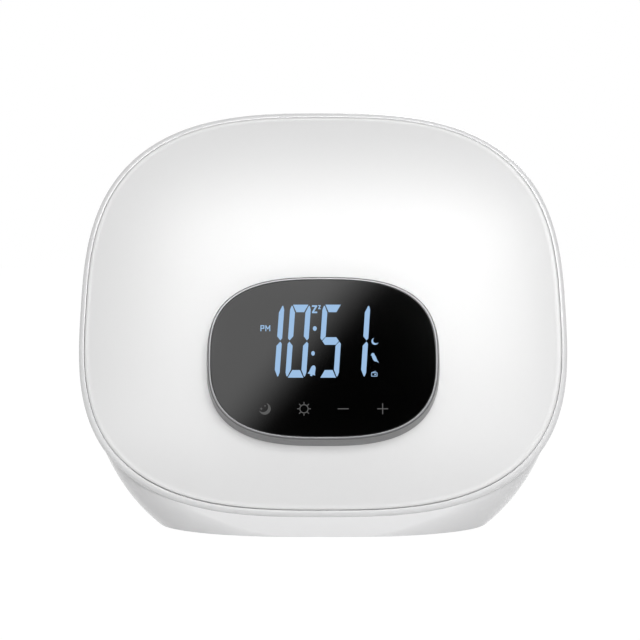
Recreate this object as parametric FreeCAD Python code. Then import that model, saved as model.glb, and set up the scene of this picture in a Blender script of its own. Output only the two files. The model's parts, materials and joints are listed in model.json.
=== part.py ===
import FreeCAD, Part
import math
import os
from FreeCAD import Placement, Rotation, Vector

# Sunrise alarm clock in millimetres. X is right, the face looks to -Y and leans back, +Z is up and
# the origin is the middle of the resting plane. Sizes of the face were read at 2.64 pixels to the mm.

# Stance of the face. Its own frame has x right, y up the face and z out of it, zero at the seam.
FACE_LEAN = 14.0
FACE_CENTRE = Vector(0, -19, 84)
FACE_HALF_WIDTH = 89.7
FACE_HALF_HEIGHT = 75.7
FACE_POWER = 2.9
FACE_EGG = 0.03
OVAL_POINTS = 24
ARC_POINTS = 32

# Moulded housing
WALL = 2.5
RIM_WIDTH = 2.2
RIM_HEIGHT = 2.5
RIM_LAND = 0.3
RIM_STEP = 0.25
RIM_ROOT = 0.6
RIM_STEPS = 4
BACK_Y = 32.0
BACK_CENTRE_Z = 80.0
BACK_HALF_WIDTH = 52.0
BACK_HALF_HEIGHT = 41.0
BACK_ROUNDING = 2.2
FOOT_LIFT = 0.6
FOOT_HALF_WIDTH = 61.5
FOOT_FRONT_WIDTH = 5.0
FOOT_POWER = 2.3
FLANK_POWER = 2.5
OUTER_RINGS = 14
INNER_RINGS = 8
LEDGE_DEPTH = 3.0
LEDGE_WIDTH = 2.8
LEDGE_THICKNESS = 2.6
CAVITY_START = 5.0

# Light diffuser
SEAM_GAP = 0.25
DIFFUSER_WALL = 2.2
BEVEL_START = 0.4
BEVEL_TOP = 1.3
BEVEL_INSET = 1.2
DOME_RISE = 10.2
DOME_POWER = 3.2
DOME_SCALES = (1.0, 0.9, 0.78, 0.62, 0.4)
POST_RADIUS = 3.0
POST_X = 67.0
POST_Y = 43.0

# Display pod, an oval that stands out of the diffuser below its middle
POD_Y = -21.8
POD_POWER = 2.8
POD_HALF_WIDTH = 42.9
POD_HALF_HEIGHT = 30.9
POD_FRONT = 20.0
POD_EDGE = 0.2
POD_DRAFT_START = 13.0
POD_DRAFT = 0.75
POD_GAP = 0.25
LENS_HALF_WIDTH = 41.1
LENS_THICKNESS = 1.8
LENS_GAP = 0.1
BEZEL_LIP = 1.8
BEZEL_LIP_WIDTH = 1.7
BEZEL_WALL = 2.3
SEAT_Z = 4.0
SEAT_WIDTH = 3.0
GASKET_THICKNESS = 0.8
TUB_GAP = 0.2
TUB_WALL = 1.8
TUB_FLANGE = 2.0
TUB_DEPTH = 4.0
TUB_TOP = 15.0
TUB_POST_X = 24.0
TUB_POST_Y = 14.0
TUB_POST_RADIUS = 3.4

# Display module inside the pod
BOARD_THICKNESS = 1.2
DISPLAY_BOARD_TOP = 11.0
DISPLAY_BOARD_GAP = 1.0
LCD_WIDTH = 51.0
LCD_HEIGHT = 30.4
LCD_THICKNESS = 2.6
LCD_Y = 5.6
LCD_BACK = 15.2
LCD_FRAME_WALL = 1.2
LCD_FRAME_GAP = 0.1
LCD_FRAME_TOP = 17.9
STRIP_WIDTH = 1.6
STRIP_INSET = 1.2
LIGHT_CHIP_HEIGHT = 1.2
LIGHT_CHIP_PITCH = 14.0
TOUCH_RADIUS = 4.0
TOUCH_PITCH = 14.3
TOUCH_Y = -18.5
DISPLAY_SCREW_X = 33.0
DISPLAY_SCREW_Y = 6.0
STANDOFF_RADIUS = 3.0

# Reflector tray and its board of light chips
TRAY_HALF_WIDTH = 84.0
TRAY_HALF_HEIGHT = 70.0
TRAY_FRONT = -6.0
TRAY_THICKNESS = 2.0
TRAY_RIM = 1.6
TRAY_BOSS_X = 38.0
TRAY_BOSS_Y = 32.0
TRAY_BOSS_RADIUS = 3.5
TRAY_BOSS_END = -20.0
LED_BOARD_HALF_WIDTH = 72.0
LED_BOARD_HALF_HEIGHT = 58.0
LED_SIZE = (3.5, 2.8, 1.4)
LED_COLUMNS = (-48, -32, -16, 0, 16, 32, 48)
LED_ROWS = (22, 36, 50)
LED_SIDE_X = 60.0
LED_SIDE_ROWS = (-34, -18, -2, 14)
LED_SCREW_X = 53.0
LED_SCREW_Y = 8.0

# Housing screws, sunk in wells behind the tray bosses
WELL_RADIUS = 4.7
WELL_BORE = 3.25
WELL_PLATE = 3.0
WELL_REACH = 60.0
HOUSING_SCREW_LENGTH = 12.0

# Screws in general
SCREW_HEAD_RADIUS = 2.6
SCREW_HEAD_HEIGHT = 1.6
SCREW_RADIUS = 1.4
SCREW_HOLE = 1.45
SCREW_DEPTH = 5.0

# Loudspeaker behind the back wall
SPEAKER_Z = 92.0
GRILLE_RADIUS = 20.3
GRILLE_THICKNESS = 1.2
GRILLE_GAP = 0.2
GRILLE_SLOTS = 9
GRILLE_PITCH = 3.7
GRILLE_SLOT_WIDTH = 1.8
GRILLE_FIELD = 16.8
SPEAKER_OPENING = 17.2
SPEAKER_RADIUS = 20.0
SPEAKER_GASKET = 1.0
SPEAKER_FLANGE = 1.2
SPEAKER_DEPTH = 8.0
MAGNET_RADIUS = 11.0
MAGNET_HEIGHT = 7.0
CONE_RADIUS = 14.2
CONE_NECK = 5.0
CONE_DEPTH = 4.5
CONE_WALL = 0.5
SURROUND_THICKNESS = 0.5
SPEAKER_EAR_RADIUS = 2.4
SPEAKER_EAR_REACH = 21.6
SPEAKER_SCREW_HOLE = 0.95
SPEAKER_SCREW_RADIUS = 0.9

# Keys on the back
KEY_Z = 58.0
KEY_PITCH = 16.0
KEY_NAMES = ("key_clock", "key_alarm", "key_sound", "key_radio")
KEY_LENGTH = 11.0
KEY_HEIGHT = 6.5
KEY_PROUD = 1.2
KEY_GAP = 0.35
KEY_FLANGE = 1.0
KEY_TRAVEL = 0.5
KEY_STOP_GAP = 0.05
PLUNGER_RADIUS = 1.75
SWITCH_SIZE = 6.0
SWITCH_HEIGHT = 3.5

# Main board
MAIN_HALF_WIDTH = 32.5
MAIN_BOTTOM = 17.0
MAIN_TOP = 70.0
MAIN_THICKNESS = 1.6
MAIN_SPACE = 8.5
MAIN_BOSS_X = 29.4
MAIN_BOSS_LOW = 20.6
MAIN_BOSS_HIGH = 66.6
MAIN_BOSS_RADIUS = 2.7
CHIP_SIZE = (10.0, 10.0, 1.6)
CHIP_PLACE = (0.0, 38.0)
CAPACITOR_RADIUS = 4.0
CAPACITOR_HEIGHT = 9.0
CAPACITOR_PLACES = ((-18.0, 46.0), (-18.0, 34.0), (20.0, 44.0))
CONNECTOR_SIZE = (15.0, 5.0, 3.0)
CONNECTOR_PLACES = ((0.0, 60.0), (0.0, 24.0))

# Power socket on the back
JACK_X = 24.0
JACK_Z = 30.0
JACK_WIDTH = 9.0
JACK_BODY_HEIGHT = 11.0
JACK_NOSE_RADIUS = 4.6
JACK_NOSE_GAP = 0.2
JACK_BORE = 3.2
JACK_PIN = 1.0
JACK_BORE_DEPTH = 9.0
JACK_PIN_RECESS = 1.5

# Bay of the back-up coin cell
CELL_X = -18.0
CELL_Z = 32.0
CELL_RADIUS = 10.0
CELL_THICKNESS = 3.2
CELL_GAP = 0.35
CAP_RADIUS = 11.5
CAP_GAP = 0.3
CAP_THICKNESS = 1.3
CAP_LIP = 1.5
CAP_HUB = 9.6
LUG_RADIUS = 12.9
LUG_ANGLE = 30.0
LUG_TOP = 1.7
LUG_BOTTOM = 3.0
LUG_GAP = 0.4
LUG_ENTRY_GAP = 4.0
CAP_TURN = 45.0
CELL_FRONT = 3.4
CONTACT_THICKNESS = 0.4
CONTACT_WIDTH = 5.0
CUP_RADIUS = 15.2
CUP_FLOOR = 1.2
COIN_SLOT = (14.0, 1.8, 0.8)

# Base plate and pad
PLATE_GAP = 0.3
PLATE_LIFT = 0.8
PLATE_THICKNESS = 2.4
PAD_INSET = 6.0
BASE_SCREWS = ((46.0, -14.0), (38.0, 18.0))
BASE_BOSS_RADIUS = 3.2
BASE_BOSS_TOP = 14.0
RIB = 1.6
RIB_REACH = 40.0

# Flat cable from the display to the main board
RIBBON_WIDTH = 12.0
RIBBON_THICKNESS = 0.4
RIBBON_Y = 2.0
RIBBON_SLOT = 1.2
RIBBON_SIDE = 1.0
RIBBON_TURN = -12.0

# Frames. In the back frame x runs left as seen from the front, y is up and z points out of the back.
ROW = Placement()
FACE = Placement(FACE_CENTRE, Rotation(Vector(1, 0, 0), 90 - FACE_LEAN))
BACK = Placement(
    Vector(0, BACK_Y, 0),
    Rotation(Vector(-1, 0, 0), Vector(0, 0, 1), Vector(0, 1, 0), "ZXY"),
)
RIM_HALF_WIDTH = FACE_HALF_WIDTH + RIM_WIDTH
RIM_HALF_HEIGHT = FACE_HALF_HEIGHT + RIM_WIDTH
MAIN_OUTER = -WALL - MAIN_SPACE
MAIN_INNER = MAIN_OUTER - MAIN_THICKNESS
FLANGE_TOP = SEAT_Z - GASKET_THICKNESS
TUB_FLOOR = FLANGE_TOP - TUB_DEPTH
DISPLAY_BOARD_BACK = DISPLAY_BOARD_TOP - BOARD_THICKNESS
TRAY_BACK = TRAY_FRONT - TRAY_THICKNESS
LED_BOARD_TOP = TRAY_FRONT + BOARD_THICKNESS
LENS_BACK = POD_FRONT - LENS_THICKNESS
FOUR_WAYS = ((1, 1), (-1, 1), (-1, -1), (1, -1))


def placed(shape, frame):
    """The shape carried into a frame."""
    moved = shape.copy()
    moved.Placement = frame.multiply(moved.Placement)
    return moved


def oval(half_width, half_height, power, egg=0.0, low_height=0.0, low_power=0.0, count=OVAL_POINTS):
    """Points of a superellipse; the egg narrows it upwards, the lower half may have its own shape."""
    points = []
    for i in range(count):
        turn = 2 * math.pi * i / count
        across, up = math.cos(turn), math.sin(turn)
        height, bend = half_height, power
        if low_height and up < 0:
            height, bend = low_height, low_power
        radius = (abs(across / half_width) ** bend + abs(up / height) ** bend) ** (-1 / bend)
        x, y = radius * across, radius * up
        points.append(Vector(x * (1 - egg * y / half_height), y, 0))
    return points


def arc_oval(half_width, half_height, power, egg=0.0, frame=ROW):
    """The superellipse as a closed chain of arcs."""
    points = [frame.multVec(p) for p in oval(half_width, half_height, power, egg, count=ARC_POINTS)]
    points.append(points[0])
    arcs = [Part.Arc(*points[i:i + 3]).toShape() for i in range(0, ARC_POINTS, 2)]
    return Part.Wire(arcs)


def ring(points, frame):
    """A closed curve through the points. All rings share their knots, so a skin over them is clean."""
    curve = Part.BSplineCurve()
    knots = [i / len(points) for i in range(len(points) + 1)]
    curve.interpolate([frame.multVec(p) for p in points], PeriodicFlag=True, Parameters=knots)
    return Part.Wire(curve.toShape())


def at(x=0.0, y=0.0, z=0.0):
    return Placement(Vector(x, y, z), Rotation())


def slab(half_width, half_height, power, low, high, y=0.0, egg=0.0):
    """A straight prism over an oval."""
    outline = arc_oval(half_width, half_height, power, egg, at(0, y, low))
    return Part.Face(outline).extrude(Vector(0, 0, high - low))


def face_slab(inset, low, high):
    """A prism over the seam outline of the face, drawn in by the inset."""
    return slab(FACE_HALF_WIDTH - inset, FACE_HALF_HEIGHT - inset, FACE_POWER, low, high, 0, FACE_EGG)


def pod_slab(inset, low, high):
    """A prism over the pod's outline, drawn in by the inset."""
    return slab(POD_HALF_WIDTH - inset, POD_HALF_HEIGHT - inset, POD_POWER, low, high, POD_Y)


def rod(radius, low, high, x=0.0, y=0.0):
    return Part.makeCylinder(radius, high - low, Vector(x, y, low))


def block(width, height, low, high, x=0.0, y=0.0):
    corner = Vector(x - width / 2, y - height / 2, low)
    return Part.makeBox(width, height, high - low, corner)


def pill(length, height, low, high, x=0.0, y=0.0):
    """A prism with half-round ends."""
    run = length / 2 - height / 2
    middle = block(2 * run, height, low, high, x, y)
    ends = [rod(height / 2, low, high, x + side * run, y) for side in (-1, 1)]
    return middle.multiFuse(ends).removeSplitter()


def fused(shapes):
    return shapes[0].multiFuse(shapes[1:])


def four(x, y, centre_y=0.0):
    """Four places that mirror one another."""
    return [(side * x, centre_y + up * y) for side, up in FOUR_WAYS]


def screw(seat, point, x, y, shank=SCREW_RADIUS, head=SCREW_HEAD_RADIUS, height=SCREW_HEAD_HEIGHT):
    """A pan-head screw; the head sits on seat and the shank runs on to point."""
    away = 1 if seat > point else -1
    top = seat + away * height
    body = rod(head, min(seat, top), max(seat, top), x, y)
    return body.fuse(rod(shank, min(seat, point), max(seat, point), x, y))


def revolved(profile, x, y):
    """A turned piece from (radius, height) corners."""
    corners = [Vector(x + radius, y, height) for radius, height in profile]
    outline = Part.makePolygon(corners + corners[:1])
    return Part.Face(outline).revolve(Vector(x, y, 0), Vector(0, 0, 1), 360)


def foot_spread(path):
    """Share of the foot's full half-width, from the front of the footprint to its middle."""
    lead = max(0.0, 1 - path / 0.5)
    return (1 - lead ** FOOT_POWER) ** (1 / FOOT_POWER)


def housing_skin(rings, start, back_y, inset):
    """Solid over rings that go from the leaning rim to the upright back and reach down to the foot.

    Each ring is a superellipse whose upper half closes in to the back wall. The lower half is as deep
    as it must be for the ring to meet the table at the foot's half-width there.
    """
    front = FACE.multVec(Vector(0, 0, -start))
    back = Vector(0, back_y, BACK_CENTRE_Z)
    wires = []
    for i in range(rings + 1):
        path = (1 - math.cos(math.pi * i / rings)) / 2
        closing = 1 - (1 - path ** BACK_ROUNDING) ** (1 / BACK_ROUNDING)
        width = RIM_HALF_WIDTH - inset + (BACK_HALF_WIDTH - RIM_HALF_WIDTH) * closing
        height = RIM_HALF_HEIGHT - inset + (BACK_HALF_HEIGHT - RIM_HALF_HEIGHT) * closing
        lean = FACE_LEAN * (1 - path)
        middle = front + (back - front) * path
        drop = middle.z / math.cos(math.radians(lean))
        foot = FOOT_FRONT_WIDTH + (FOOT_HALF_WIDTH - FOOT_FRONT_WIDTH) * foot_spread(path)
        foot = foot * width / (RIM_HALF_WIDTH - inset) - inset
        bend = 2.0 + (FLANK_POWER - 2.0) * foot_spread(path)
        depth = drop / (1 - (foot / width) ** bend) ** (1 / bend)
        frame = Placement(middle, Rotation(Vector(1, 0, 0), 90 - lean))
        wires.append(ring(oval(width, height, FACE_POWER, FACE_EGG, depth, bend), frame))
    return Part.makeLoft(wires, True, True)


def cavity_skin(inset):
    """The inner form of the housing, drawn in from the outer one on every side."""
    return housing_skin(INNER_RINGS, CAVITY_START + inset - WALL, BACK_Y - inset, inset)


def rim_bead():
    """The rounded lip round the face, a quarter ellipse from the outer outline to the seam."""
    wires = [ring(oval(RIM_HALF_WIDTH, RIM_HALF_HEIGHT, FACE_POWER, FACE_EGG), at(0, 0, -RIM_HEIGHT - RIM_ROOT))]
    reach = RIM_WIDTH - RIM_LAND
    for i in range(RIM_STEPS + 1):
        turn = math.pi / 2 * i / RIM_STEPS
        inset = reach * (1 - math.cos(turn)) - RIM_WIDTH
        outline = oval(FACE_HALF_WIDTH - inset, FACE_HALF_HEIGHT - inset, FACE_POWER, FACE_EGG)
        wires.append(ring(outline, at(0, 0, RIM_HEIGHT * (math.sin(turn) - 1))))
    return Part.makeLoft(wires, True, True)


def below(height):
    """Everything under a level plane."""
    return block(3 * RIM_HALF_WIDTH, 3 * RIM_HALF_WIDTH, height - BACK_CENTRE_Z, height)


def housing_wells():
    return [rod(WELL_RADIUS, TRAY_BOSS_END - WELL_REACH, TRAY_BOSS_END, x, y)
            for x, y in four(TRAY_BOSS_X, TRAY_BOSS_Y)]


def well_bores():
    bores = []
    for x, y in four(TRAY_BOSS_X, TRAY_BOSS_Y):
        bores.append(rod(WELL_BORE, TRAY_BOSS_END - WELL_REACH, TRAY_BOSS_END - WELL_PLATE, x, y))
        bores.append(rod(SCREW_HOLE, TRAY_BOSS_END - WELL_PLATE, TRAY_BOSS_END, x, y))
    return bores


def base_places():
    return [(side * x, y) for x, y in BASE_SCREWS for side in (-1, 1)]


def base_bosses():
    """Bosses for the base screws, each tied to the wall by a rib."""
    bosses = []
    floor = PLATE_LIFT + PLATE_THICKNESS
    for x, y in base_places():
        outward = math.copysign(1, x)
        bosses.append(rod(BASE_BOSS_RADIUS, floor, BASE_BOSS_TOP, x, y))
        rib_x = x + outward * RIB_REACH / 2
        bosses.append(block(RIB_REACH, RIB, floor, BASE_BOSS_TOP, rib_x, y))
    return bosses


def sector(radius, angle, low, high, x, y, start):
    """A slice of a disc, centred on the start angle."""
    piece = Part.makeCylinder(radius, high - low, Vector(x, y, low), Vector(0, 0, 1), angle)
    piece.rotate(Vector(x, y, 0), Vector(0, 0, 1), start - angle / 2)
    return piece


def cell_cup():
    """The closed cup that keeps the cell apart from the electronics."""
    return rod(CUP_RADIUS, -CELL_FRONT - CELL_THICKNESS - CONTACT_THICKNESS - CUP_FLOOR, -WALL / 2,
               -CELL_X, CELL_Z)


def cell_cavity():
    x, y = -CELL_X, CELL_Z
    floor = -CELL_FRONT - CELL_THICKNESS - CONTACT_THICKNESS
    pieces = [rod(CAP_RADIUS + CAP_GAP, -CAP_LIP, WALL, x, y)]
    pieces.append(rod(LUG_RADIUS + LUG_GAP, -CELL_FRONT, -CAP_LIP, x, y))
    pieces.append(rod(CELL_RADIUS + CELL_GAP, floor, -CELL_FRONT, x, y))
    for half in (0, 180):
        entry = LUG_ANGLE + 2 * LUG_ENTRY_GAP
        pieces.append(sector(LUG_RADIUS + LUG_GAP, entry, -CAP_LIP, WALL, x, y, half + CAP_TURN))
    side = CELL_RADIUS + CELL_GAP + CONTACT_THICKNESS
    pieces.append(block(CONTACT_WIDTH, 2 * side, floor, -CELL_FRONT, x, y))
    return fused(pieces)


def key_places():
    first = -KEY_PITCH * (len(KEY_NAMES) - 1) / 2
    return [first + KEY_PITCH * i for i in range(len(KEY_NAMES))]


def back_openings():
    """Everything cut through the back wall."""
    cuts = [rod(GRILLE_RADIUS + GRILLE_GAP, -GRILLE_THICKNESS, WALL, 0, SPEAKER_Z)]
    cuts.append(rod(SPEAKER_OPENING, -2 * WALL, WALL, 0, SPEAKER_Z))
    for x in key_places():
        cuts.append(pill(KEY_LENGTH + 2 * KEY_GAP, KEY_HEIGHT + 2 * KEY_GAP, -2 * WALL, WALL, x, KEY_Z))
    cuts.append(rod(JACK_NOSE_RADIUS + JACK_NOSE_GAP, -2 * WALL, WALL, -JACK_X, JACK_Z))
    return cuts


def speaker_ears():
    reach = SPEAKER_EAR_REACH / math.sqrt(2)
    return four(reach, reach, SPEAKER_Z)


def main_boss_places():
    return [(side * MAIN_BOSS_X, y) for y in (MAIN_BOSS_LOW, MAIN_BOSS_HIGH) for side in (-1, 1)]


def back_bosses():
    bosses = [rod(SPEAKER_EAR_RADIUS, -WALL - SPEAKER_GASKET, -WALL / 2, x, y) for x, y in speaker_ears()]
    bosses += [rod(MAIN_BOSS_RADIUS, MAIN_OUTER, -WALL / 2, x, y) for x, y in main_boss_places()]
    bosses.append(cell_cup())
    return bosses


def back_boss_holes():
    holes = [rod(SPEAKER_SCREW_HOLE, -WALL - SPEAKER_GASKET, -WALL / 2, x, y)
             for x, y in speaker_ears()]
    holes += [rod(SCREW_HOLE, MAIN_OUTER, -WALL, x, y) for x, y in main_boss_places()]
    return holes


def rear_housing():
    outer = housing_skin(OUTER_RINGS, RIM_HEIGHT, BACK_Y, RIM_STEP)
    cavity = cavity_skin(WALL)
    ledge = face_slab(LEDGE_WIDTH, -LEDGE_DEPTH - LEDGE_THICKNESS, -LEDGE_DEPTH)
    seat = face_slab(0, -LEDGE_DEPTH, RIM_HEIGHT)
    shell = outer.fuse(placed(rim_bead(), FACE)).cut(below(FOOT_LIFT))
    shell = shell.cut([cavity, placed(ledge, FACE), placed(seat, FACE)])
    inside = [placed(well, FACE) for well in housing_wells()]
    inside += [placed(boss, BACK) for boss in back_bosses()]
    inside += base_bosses()
    inside = Part.makeCompound([piece.common(outer) for piece in inside])
    shell = shell.fuse(inside)
    cuts = [placed(bore, FACE) for bore in well_bores()]
    cuts += [placed(cut, BACK) for cut in back_openings() + back_boss_holes()]
    cuts.append(placed(cell_cavity(), BACK))
    cuts += [rod(SCREW_HOLE, PLATE_LIFT, BASE_BOSS_TOP - RIB, x, y) for x, y in base_places()]
    return shell.cut(cuts)


def dome(inset, drop, foot):
    """The crowned form of the diffuser; inset and drop give its inner side."""
    wires = []
    wide, high = FACE_HALF_WIDTH - SEAM_GAP - inset, FACE_HALF_HEIGHT - SEAM_GAP - inset
    for height in (foot, BEVEL_START - drop):
        wires.append(ring(oval(wide, high, FACE_POWER, FACE_EGG), at(0, 0, height)))
    for scale in DOME_SCALES:
        outline = oval((wide - BEVEL_INSET) * scale, (high - BEVEL_INSET) * scale, FACE_POWER, FACE_EGG)
        height = BEVEL_TOP - drop + DOME_RISE * (1 - scale ** DOME_POWER)
        wires.append(ring(outline, at(0, 0, height)))
    return Part.makeLoft(wires, True, True)


def front_diffuser():
    crown = dome(0, 0, -LEDGE_DEPTH)
    hollow = dome(DIFFUSER_WALL, DIFFUSER_WALL, -LEDGE_DEPTH - WALL)
    collar = pod_slab(-SEAT_WIDTH, SEAT_Z, POD_DRAFT_START)
    posts = [rod(POST_RADIUS, TRAY_FRONT, BEVEL_TOP + DOME_RISE, x, y) for x, y in four(POST_X, POST_Y)]
    solid = crown.fuse(dome(0, 0, TRAY_FRONT))
    inside = Part.makeCompound([piece.common(solid) for piece in [collar] + posts])
    shell = crown.cut(hollow).fuse(inside)
    holes = [rod(SCREW_HOLE, TRAY_FRONT, TRAY_FRONT + SCREW_DEPTH, x, y) for x, y in four(POST_X, POST_Y)]
    return shell.cut([pod_slab(-POD_GAP, TRAY_FRONT, POD_FRONT)] + holes)


def pod_gasket():
    outer = pod_slab(-SEAT_WIDTH, FLANGE_TOP, SEAT_Z)
    return outer.cut(pod_slab(-POD_GAP, FLANGE_TOP, SEAT_Z))


def lens_inset(extra=0.0):
    return POD_HALF_WIDTH - LENS_HALF_WIDTH - extra


def pod_bezel():
    """Drafted ring with a pocket for the lens and a lip that carries it."""
    wires = []
    for inset, height in ((0, FLANGE_TOP), (0, POD_DRAFT_START), (POD_DRAFT, POD_FRONT + POD_EDGE)):
        wires.append(arc_oval(POD_HALF_WIDTH - inset, POD_HALF_HEIGHT - inset, POD_POWER, 0, at(0, POD_Y, height)))
    body = Part.makeLoft(wires, True, True)
    bore = pod_slab(BEZEL_WALL, FLANGE_TOP, LENS_BACK - BEZEL_LIP)
    lip = pod_slab(BEZEL_WALL + BEZEL_LIP_WIDTH, FLANGE_TOP, LENS_BACK)
    pocket = pod_slab(lens_inset(LENS_GAP), LENS_BACK, POD_FRONT + WALL)
    return body.cut([bore, lip, pocket])


def cover_lens():
    return pod_slab(lens_inset(), LENS_BACK, POD_FRONT)


def tub_posts():
    return four(TUB_POST_X, TUB_POST_Y, POD_Y)


def display_screw_places():
    return four(DISPLAY_SCREW_X, DISPLAY_SCREW_Y, POD_Y)


def ribbon_slot(low, high):
    width = RIBBON_WIDTH + 2 * RIBBON_SIDE
    return block(width, RIBBON_THICKNESS + 2 * RIBBON_SLOT, low, high, 0, POD_Y + RIBBON_Y)


def display_tub():
    inset = BEZEL_WALL + TUB_GAP
    cup = pod_slab(inset, TUB_FLOOR, TUB_TOP).fuse(pod_slab(-SEAT_WIDTH, FLANGE_TOP - TUB_FLANGE, FLANGE_TOP))
    cup = cup.cut(pod_slab(inset + TUB_WALL, TUB_FLOOR + TUB_WALL, TUB_TOP))
    posts = [rod(TUB_POST_RADIUS, TRAY_FRONT, TUB_FLOOR + TUB_WALL, x, y) for x, y in tub_posts()]
    posts += [rod(STANDOFF_RADIUS, TUB_FLOOR, DISPLAY_BOARD_BACK, x, y) for x, y in display_screw_places()]
    holes = [rod(SCREW_HOLE, TRAY_FRONT, TUB_FLOOR + TUB_WALL / 2, x, y) for x, y in tub_posts()]
    holes += [rod(SCREW_HOLE, DISPLAY_BOARD_BACK - SCREW_DEPTH, DISPLAY_BOARD_BACK, x, y)
              for x, y in display_screw_places()]
    return cup.multiFuse(posts).cut(holes + [ribbon_slot(TUB_FLOOR, TUB_FLOOR + TUB_WALL)])


def display_board():
    inset = BEZEL_WALL + TUB_GAP + TUB_WALL + DISPLAY_BOARD_GAP
    board = pod_slab(inset, DISPLAY_BOARD_BACK, DISPLAY_BOARD_TOP)
    return board.cut([rod(SCREW_HOLE, DISPLAY_BOARD_BACK, DISPLAY_BOARD_TOP, x, y)
                      for x, y in display_screw_places()])


def display_driver():
    width, height, thickness = CHIP_SIZE
    return block(width, height, DISPLAY_BOARD_BACK - thickness, DISPLAY_BOARD_BACK, -TOUCH_PITCH, POD_Y)


def lcd_glass():
    return block(LCD_WIDTH, LCD_HEIGHT, LCD_BACK, LCD_BACK + LCD_THICKNESS, 0, POD_Y + LCD_Y)


def lcd_frame():
    centre = POD_Y + LCD_Y
    gap = 2 * LCD_FRAME_GAP
    outer = block(LCD_WIDTH + 2 * LCD_FRAME_WALL, LCD_HEIGHT + 2 * LCD_FRAME_WALL,
                  DISPLAY_BOARD_TOP, LCD_FRAME_TOP, 0, centre)
    return outer.cut(block(LCD_WIDTH + gap, LCD_HEIGHT + gap, DISPLAY_BOARD_TOP, LCD_FRAME_TOP, 0, centre))


def strip_y():
    return POD_Y + LCD_Y - LCD_HEIGHT / 2 + STRIP_INSET


def elastomer_strip():
    return block(LCD_WIDTH - 2 * STRIP_INSET, STRIP_WIDTH, DISPLAY_BOARD_TOP, LCD_BACK, 0, strip_y())


def backlight_guide():
    low = strip_y() + STRIP_WIDTH
    high = POD_Y + LCD_Y + LCD_HEIGHT / 2 - LCD_FRAME_GAP
    base = DISPLAY_BOARD_TOP + LIGHT_CHIP_HEIGHT
    return block(LCD_WIDTH - 2 * STRIP_INSET, high - low, base, LCD_BACK, 0, (low + high) / 2)


def backlight_leds():
    width, height, _ = LED_SIZE
    top = DISPLAY_BOARD_TOP + LIGHT_CHIP_HEIGHT
    return Part.makeCompound([
        block(width, height, DISPLAY_BOARD_TOP, top, column * LIGHT_CHIP_PITCH, POD_Y + LCD_Y + row * LCD_Y)
        for column in (-1, 0, 1) for row in (-1, 1)])


def touch_electrodes():
    places = [TOUCH_PITCH * (i - 1.5) for i in range(4)]
    return Part.makeCompound([rod(TOUCH_RADIUS, DISPLAY_BOARD_TOP, LENS_BACK, x, POD_Y + TOUCH_Y)
                              for x in places])


def display_board_screws():
    point = DISPLAY_BOARD_BACK - SCREW_DEPTH + SCREW_RADIUS
    return Part.makeCompound([screw(DISPLAY_BOARD_TOP, point, x, y) for x, y in display_screw_places()])


def tray_bosses():
    return [rod(TRAY_BOSS_RADIUS, TRAY_BOSS_END, TRAY_BACK, x, y) for x, y in four(TRAY_BOSS_X, TRAY_BOSS_Y)]


def led_screw_places():
    return four(LED_SCREW_X, LED_SCREW_Y)


def reflector_tray():
    """Shallow white tray that throws the light forward and carries both boards."""
    tray = slab(TRAY_HALF_WIDTH, TRAY_HALF_HEIGHT, FACE_POWER, TRAY_BACK, -LEDGE_DEPTH, 0, FACE_EGG)
    well = slab(TRAY_HALF_WIDTH - TRAY_RIM, TRAY_HALF_HEIGHT - TRAY_RIM, FACE_POWER,
                TRAY_FRONT, -LEDGE_DEPTH, 0, FACE_EGG)
    tray = tray.cut(well).multiFuse(tray_bosses())
    holes = [rod(SCREW_HOLE, TRAY_BOSS_END, TRAY_FRONT, x, y) for x, y in four(TRAY_BOSS_X, TRAY_BOSS_Y)]
    through = tub_posts() + four(POST_X, POST_Y) + led_screw_places()
    holes += [rod(SCREW_HOLE, TRAY_BACK, TRAY_FRONT, x, y) for x, y in through]
    return tray.cut(holes + [ribbon_slot(TRAY_BACK, TRAY_FRONT)])


def led_board():
    board = slab(LED_BOARD_HALF_WIDTH, LED_BOARD_HALF_HEIGHT, FACE_POWER, TRAY_FRONT, LED_BOARD_TOP, 0, FACE_EGG)
    holes = [rod(TUB_POST_RADIUS + POD_GAP, TRAY_FRONT, LED_BOARD_TOP, x, y) for x, y in tub_posts()]
    holes += [rod(SCREW_HOLE, TRAY_FRONT, LED_BOARD_TOP, x, y) for x, y in led_screw_places()]
    return board.cut(holes + [ribbon_slot(TRAY_FRONT, LED_BOARD_TOP)])


def led_places():
    places = [(x, y) for y in LED_ROWS for x in LED_COLUMNS]
    return places + [(side * LED_SIDE_X, y) for y in LED_SIDE_ROWS for side in (-1, 1)]


def leds(first):
    """Every second light chip, so that the two colours alternate."""
    width, height, thickness = LED_SIZE
    return Part.makeCompound([block(width, height, LED_BOARD_TOP, LED_BOARD_TOP + thickness, x, y)
                              for x, y in led_places()[first::2]])


def led_board_screws():
    return Part.makeCompound([screw(LED_BOARD_TOP, TRAY_BACK, x, y) for x, y in led_screw_places()])


def tub_screws():
    return Part.makeCompound([screw(TRAY_BACK, TUB_FLOOR, x, y) for x, y in tub_posts()])


def diffuser_screws():
    point = TRAY_FRONT + SCREW_DEPTH - SCREW_RADIUS
    return Part.makeCompound([screw(TRAY_BACK, point, x, y) for x, y in four(POST_X, POST_Y)])


def housing_screws():
    seat = TRAY_BOSS_END - WELL_PLATE
    return Part.makeCompound([screw(seat, seat + HOUSING_SCREW_LENGTH, x, y)
                              for x, y in four(TRAY_BOSS_X, TRAY_BOSS_Y)])


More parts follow.
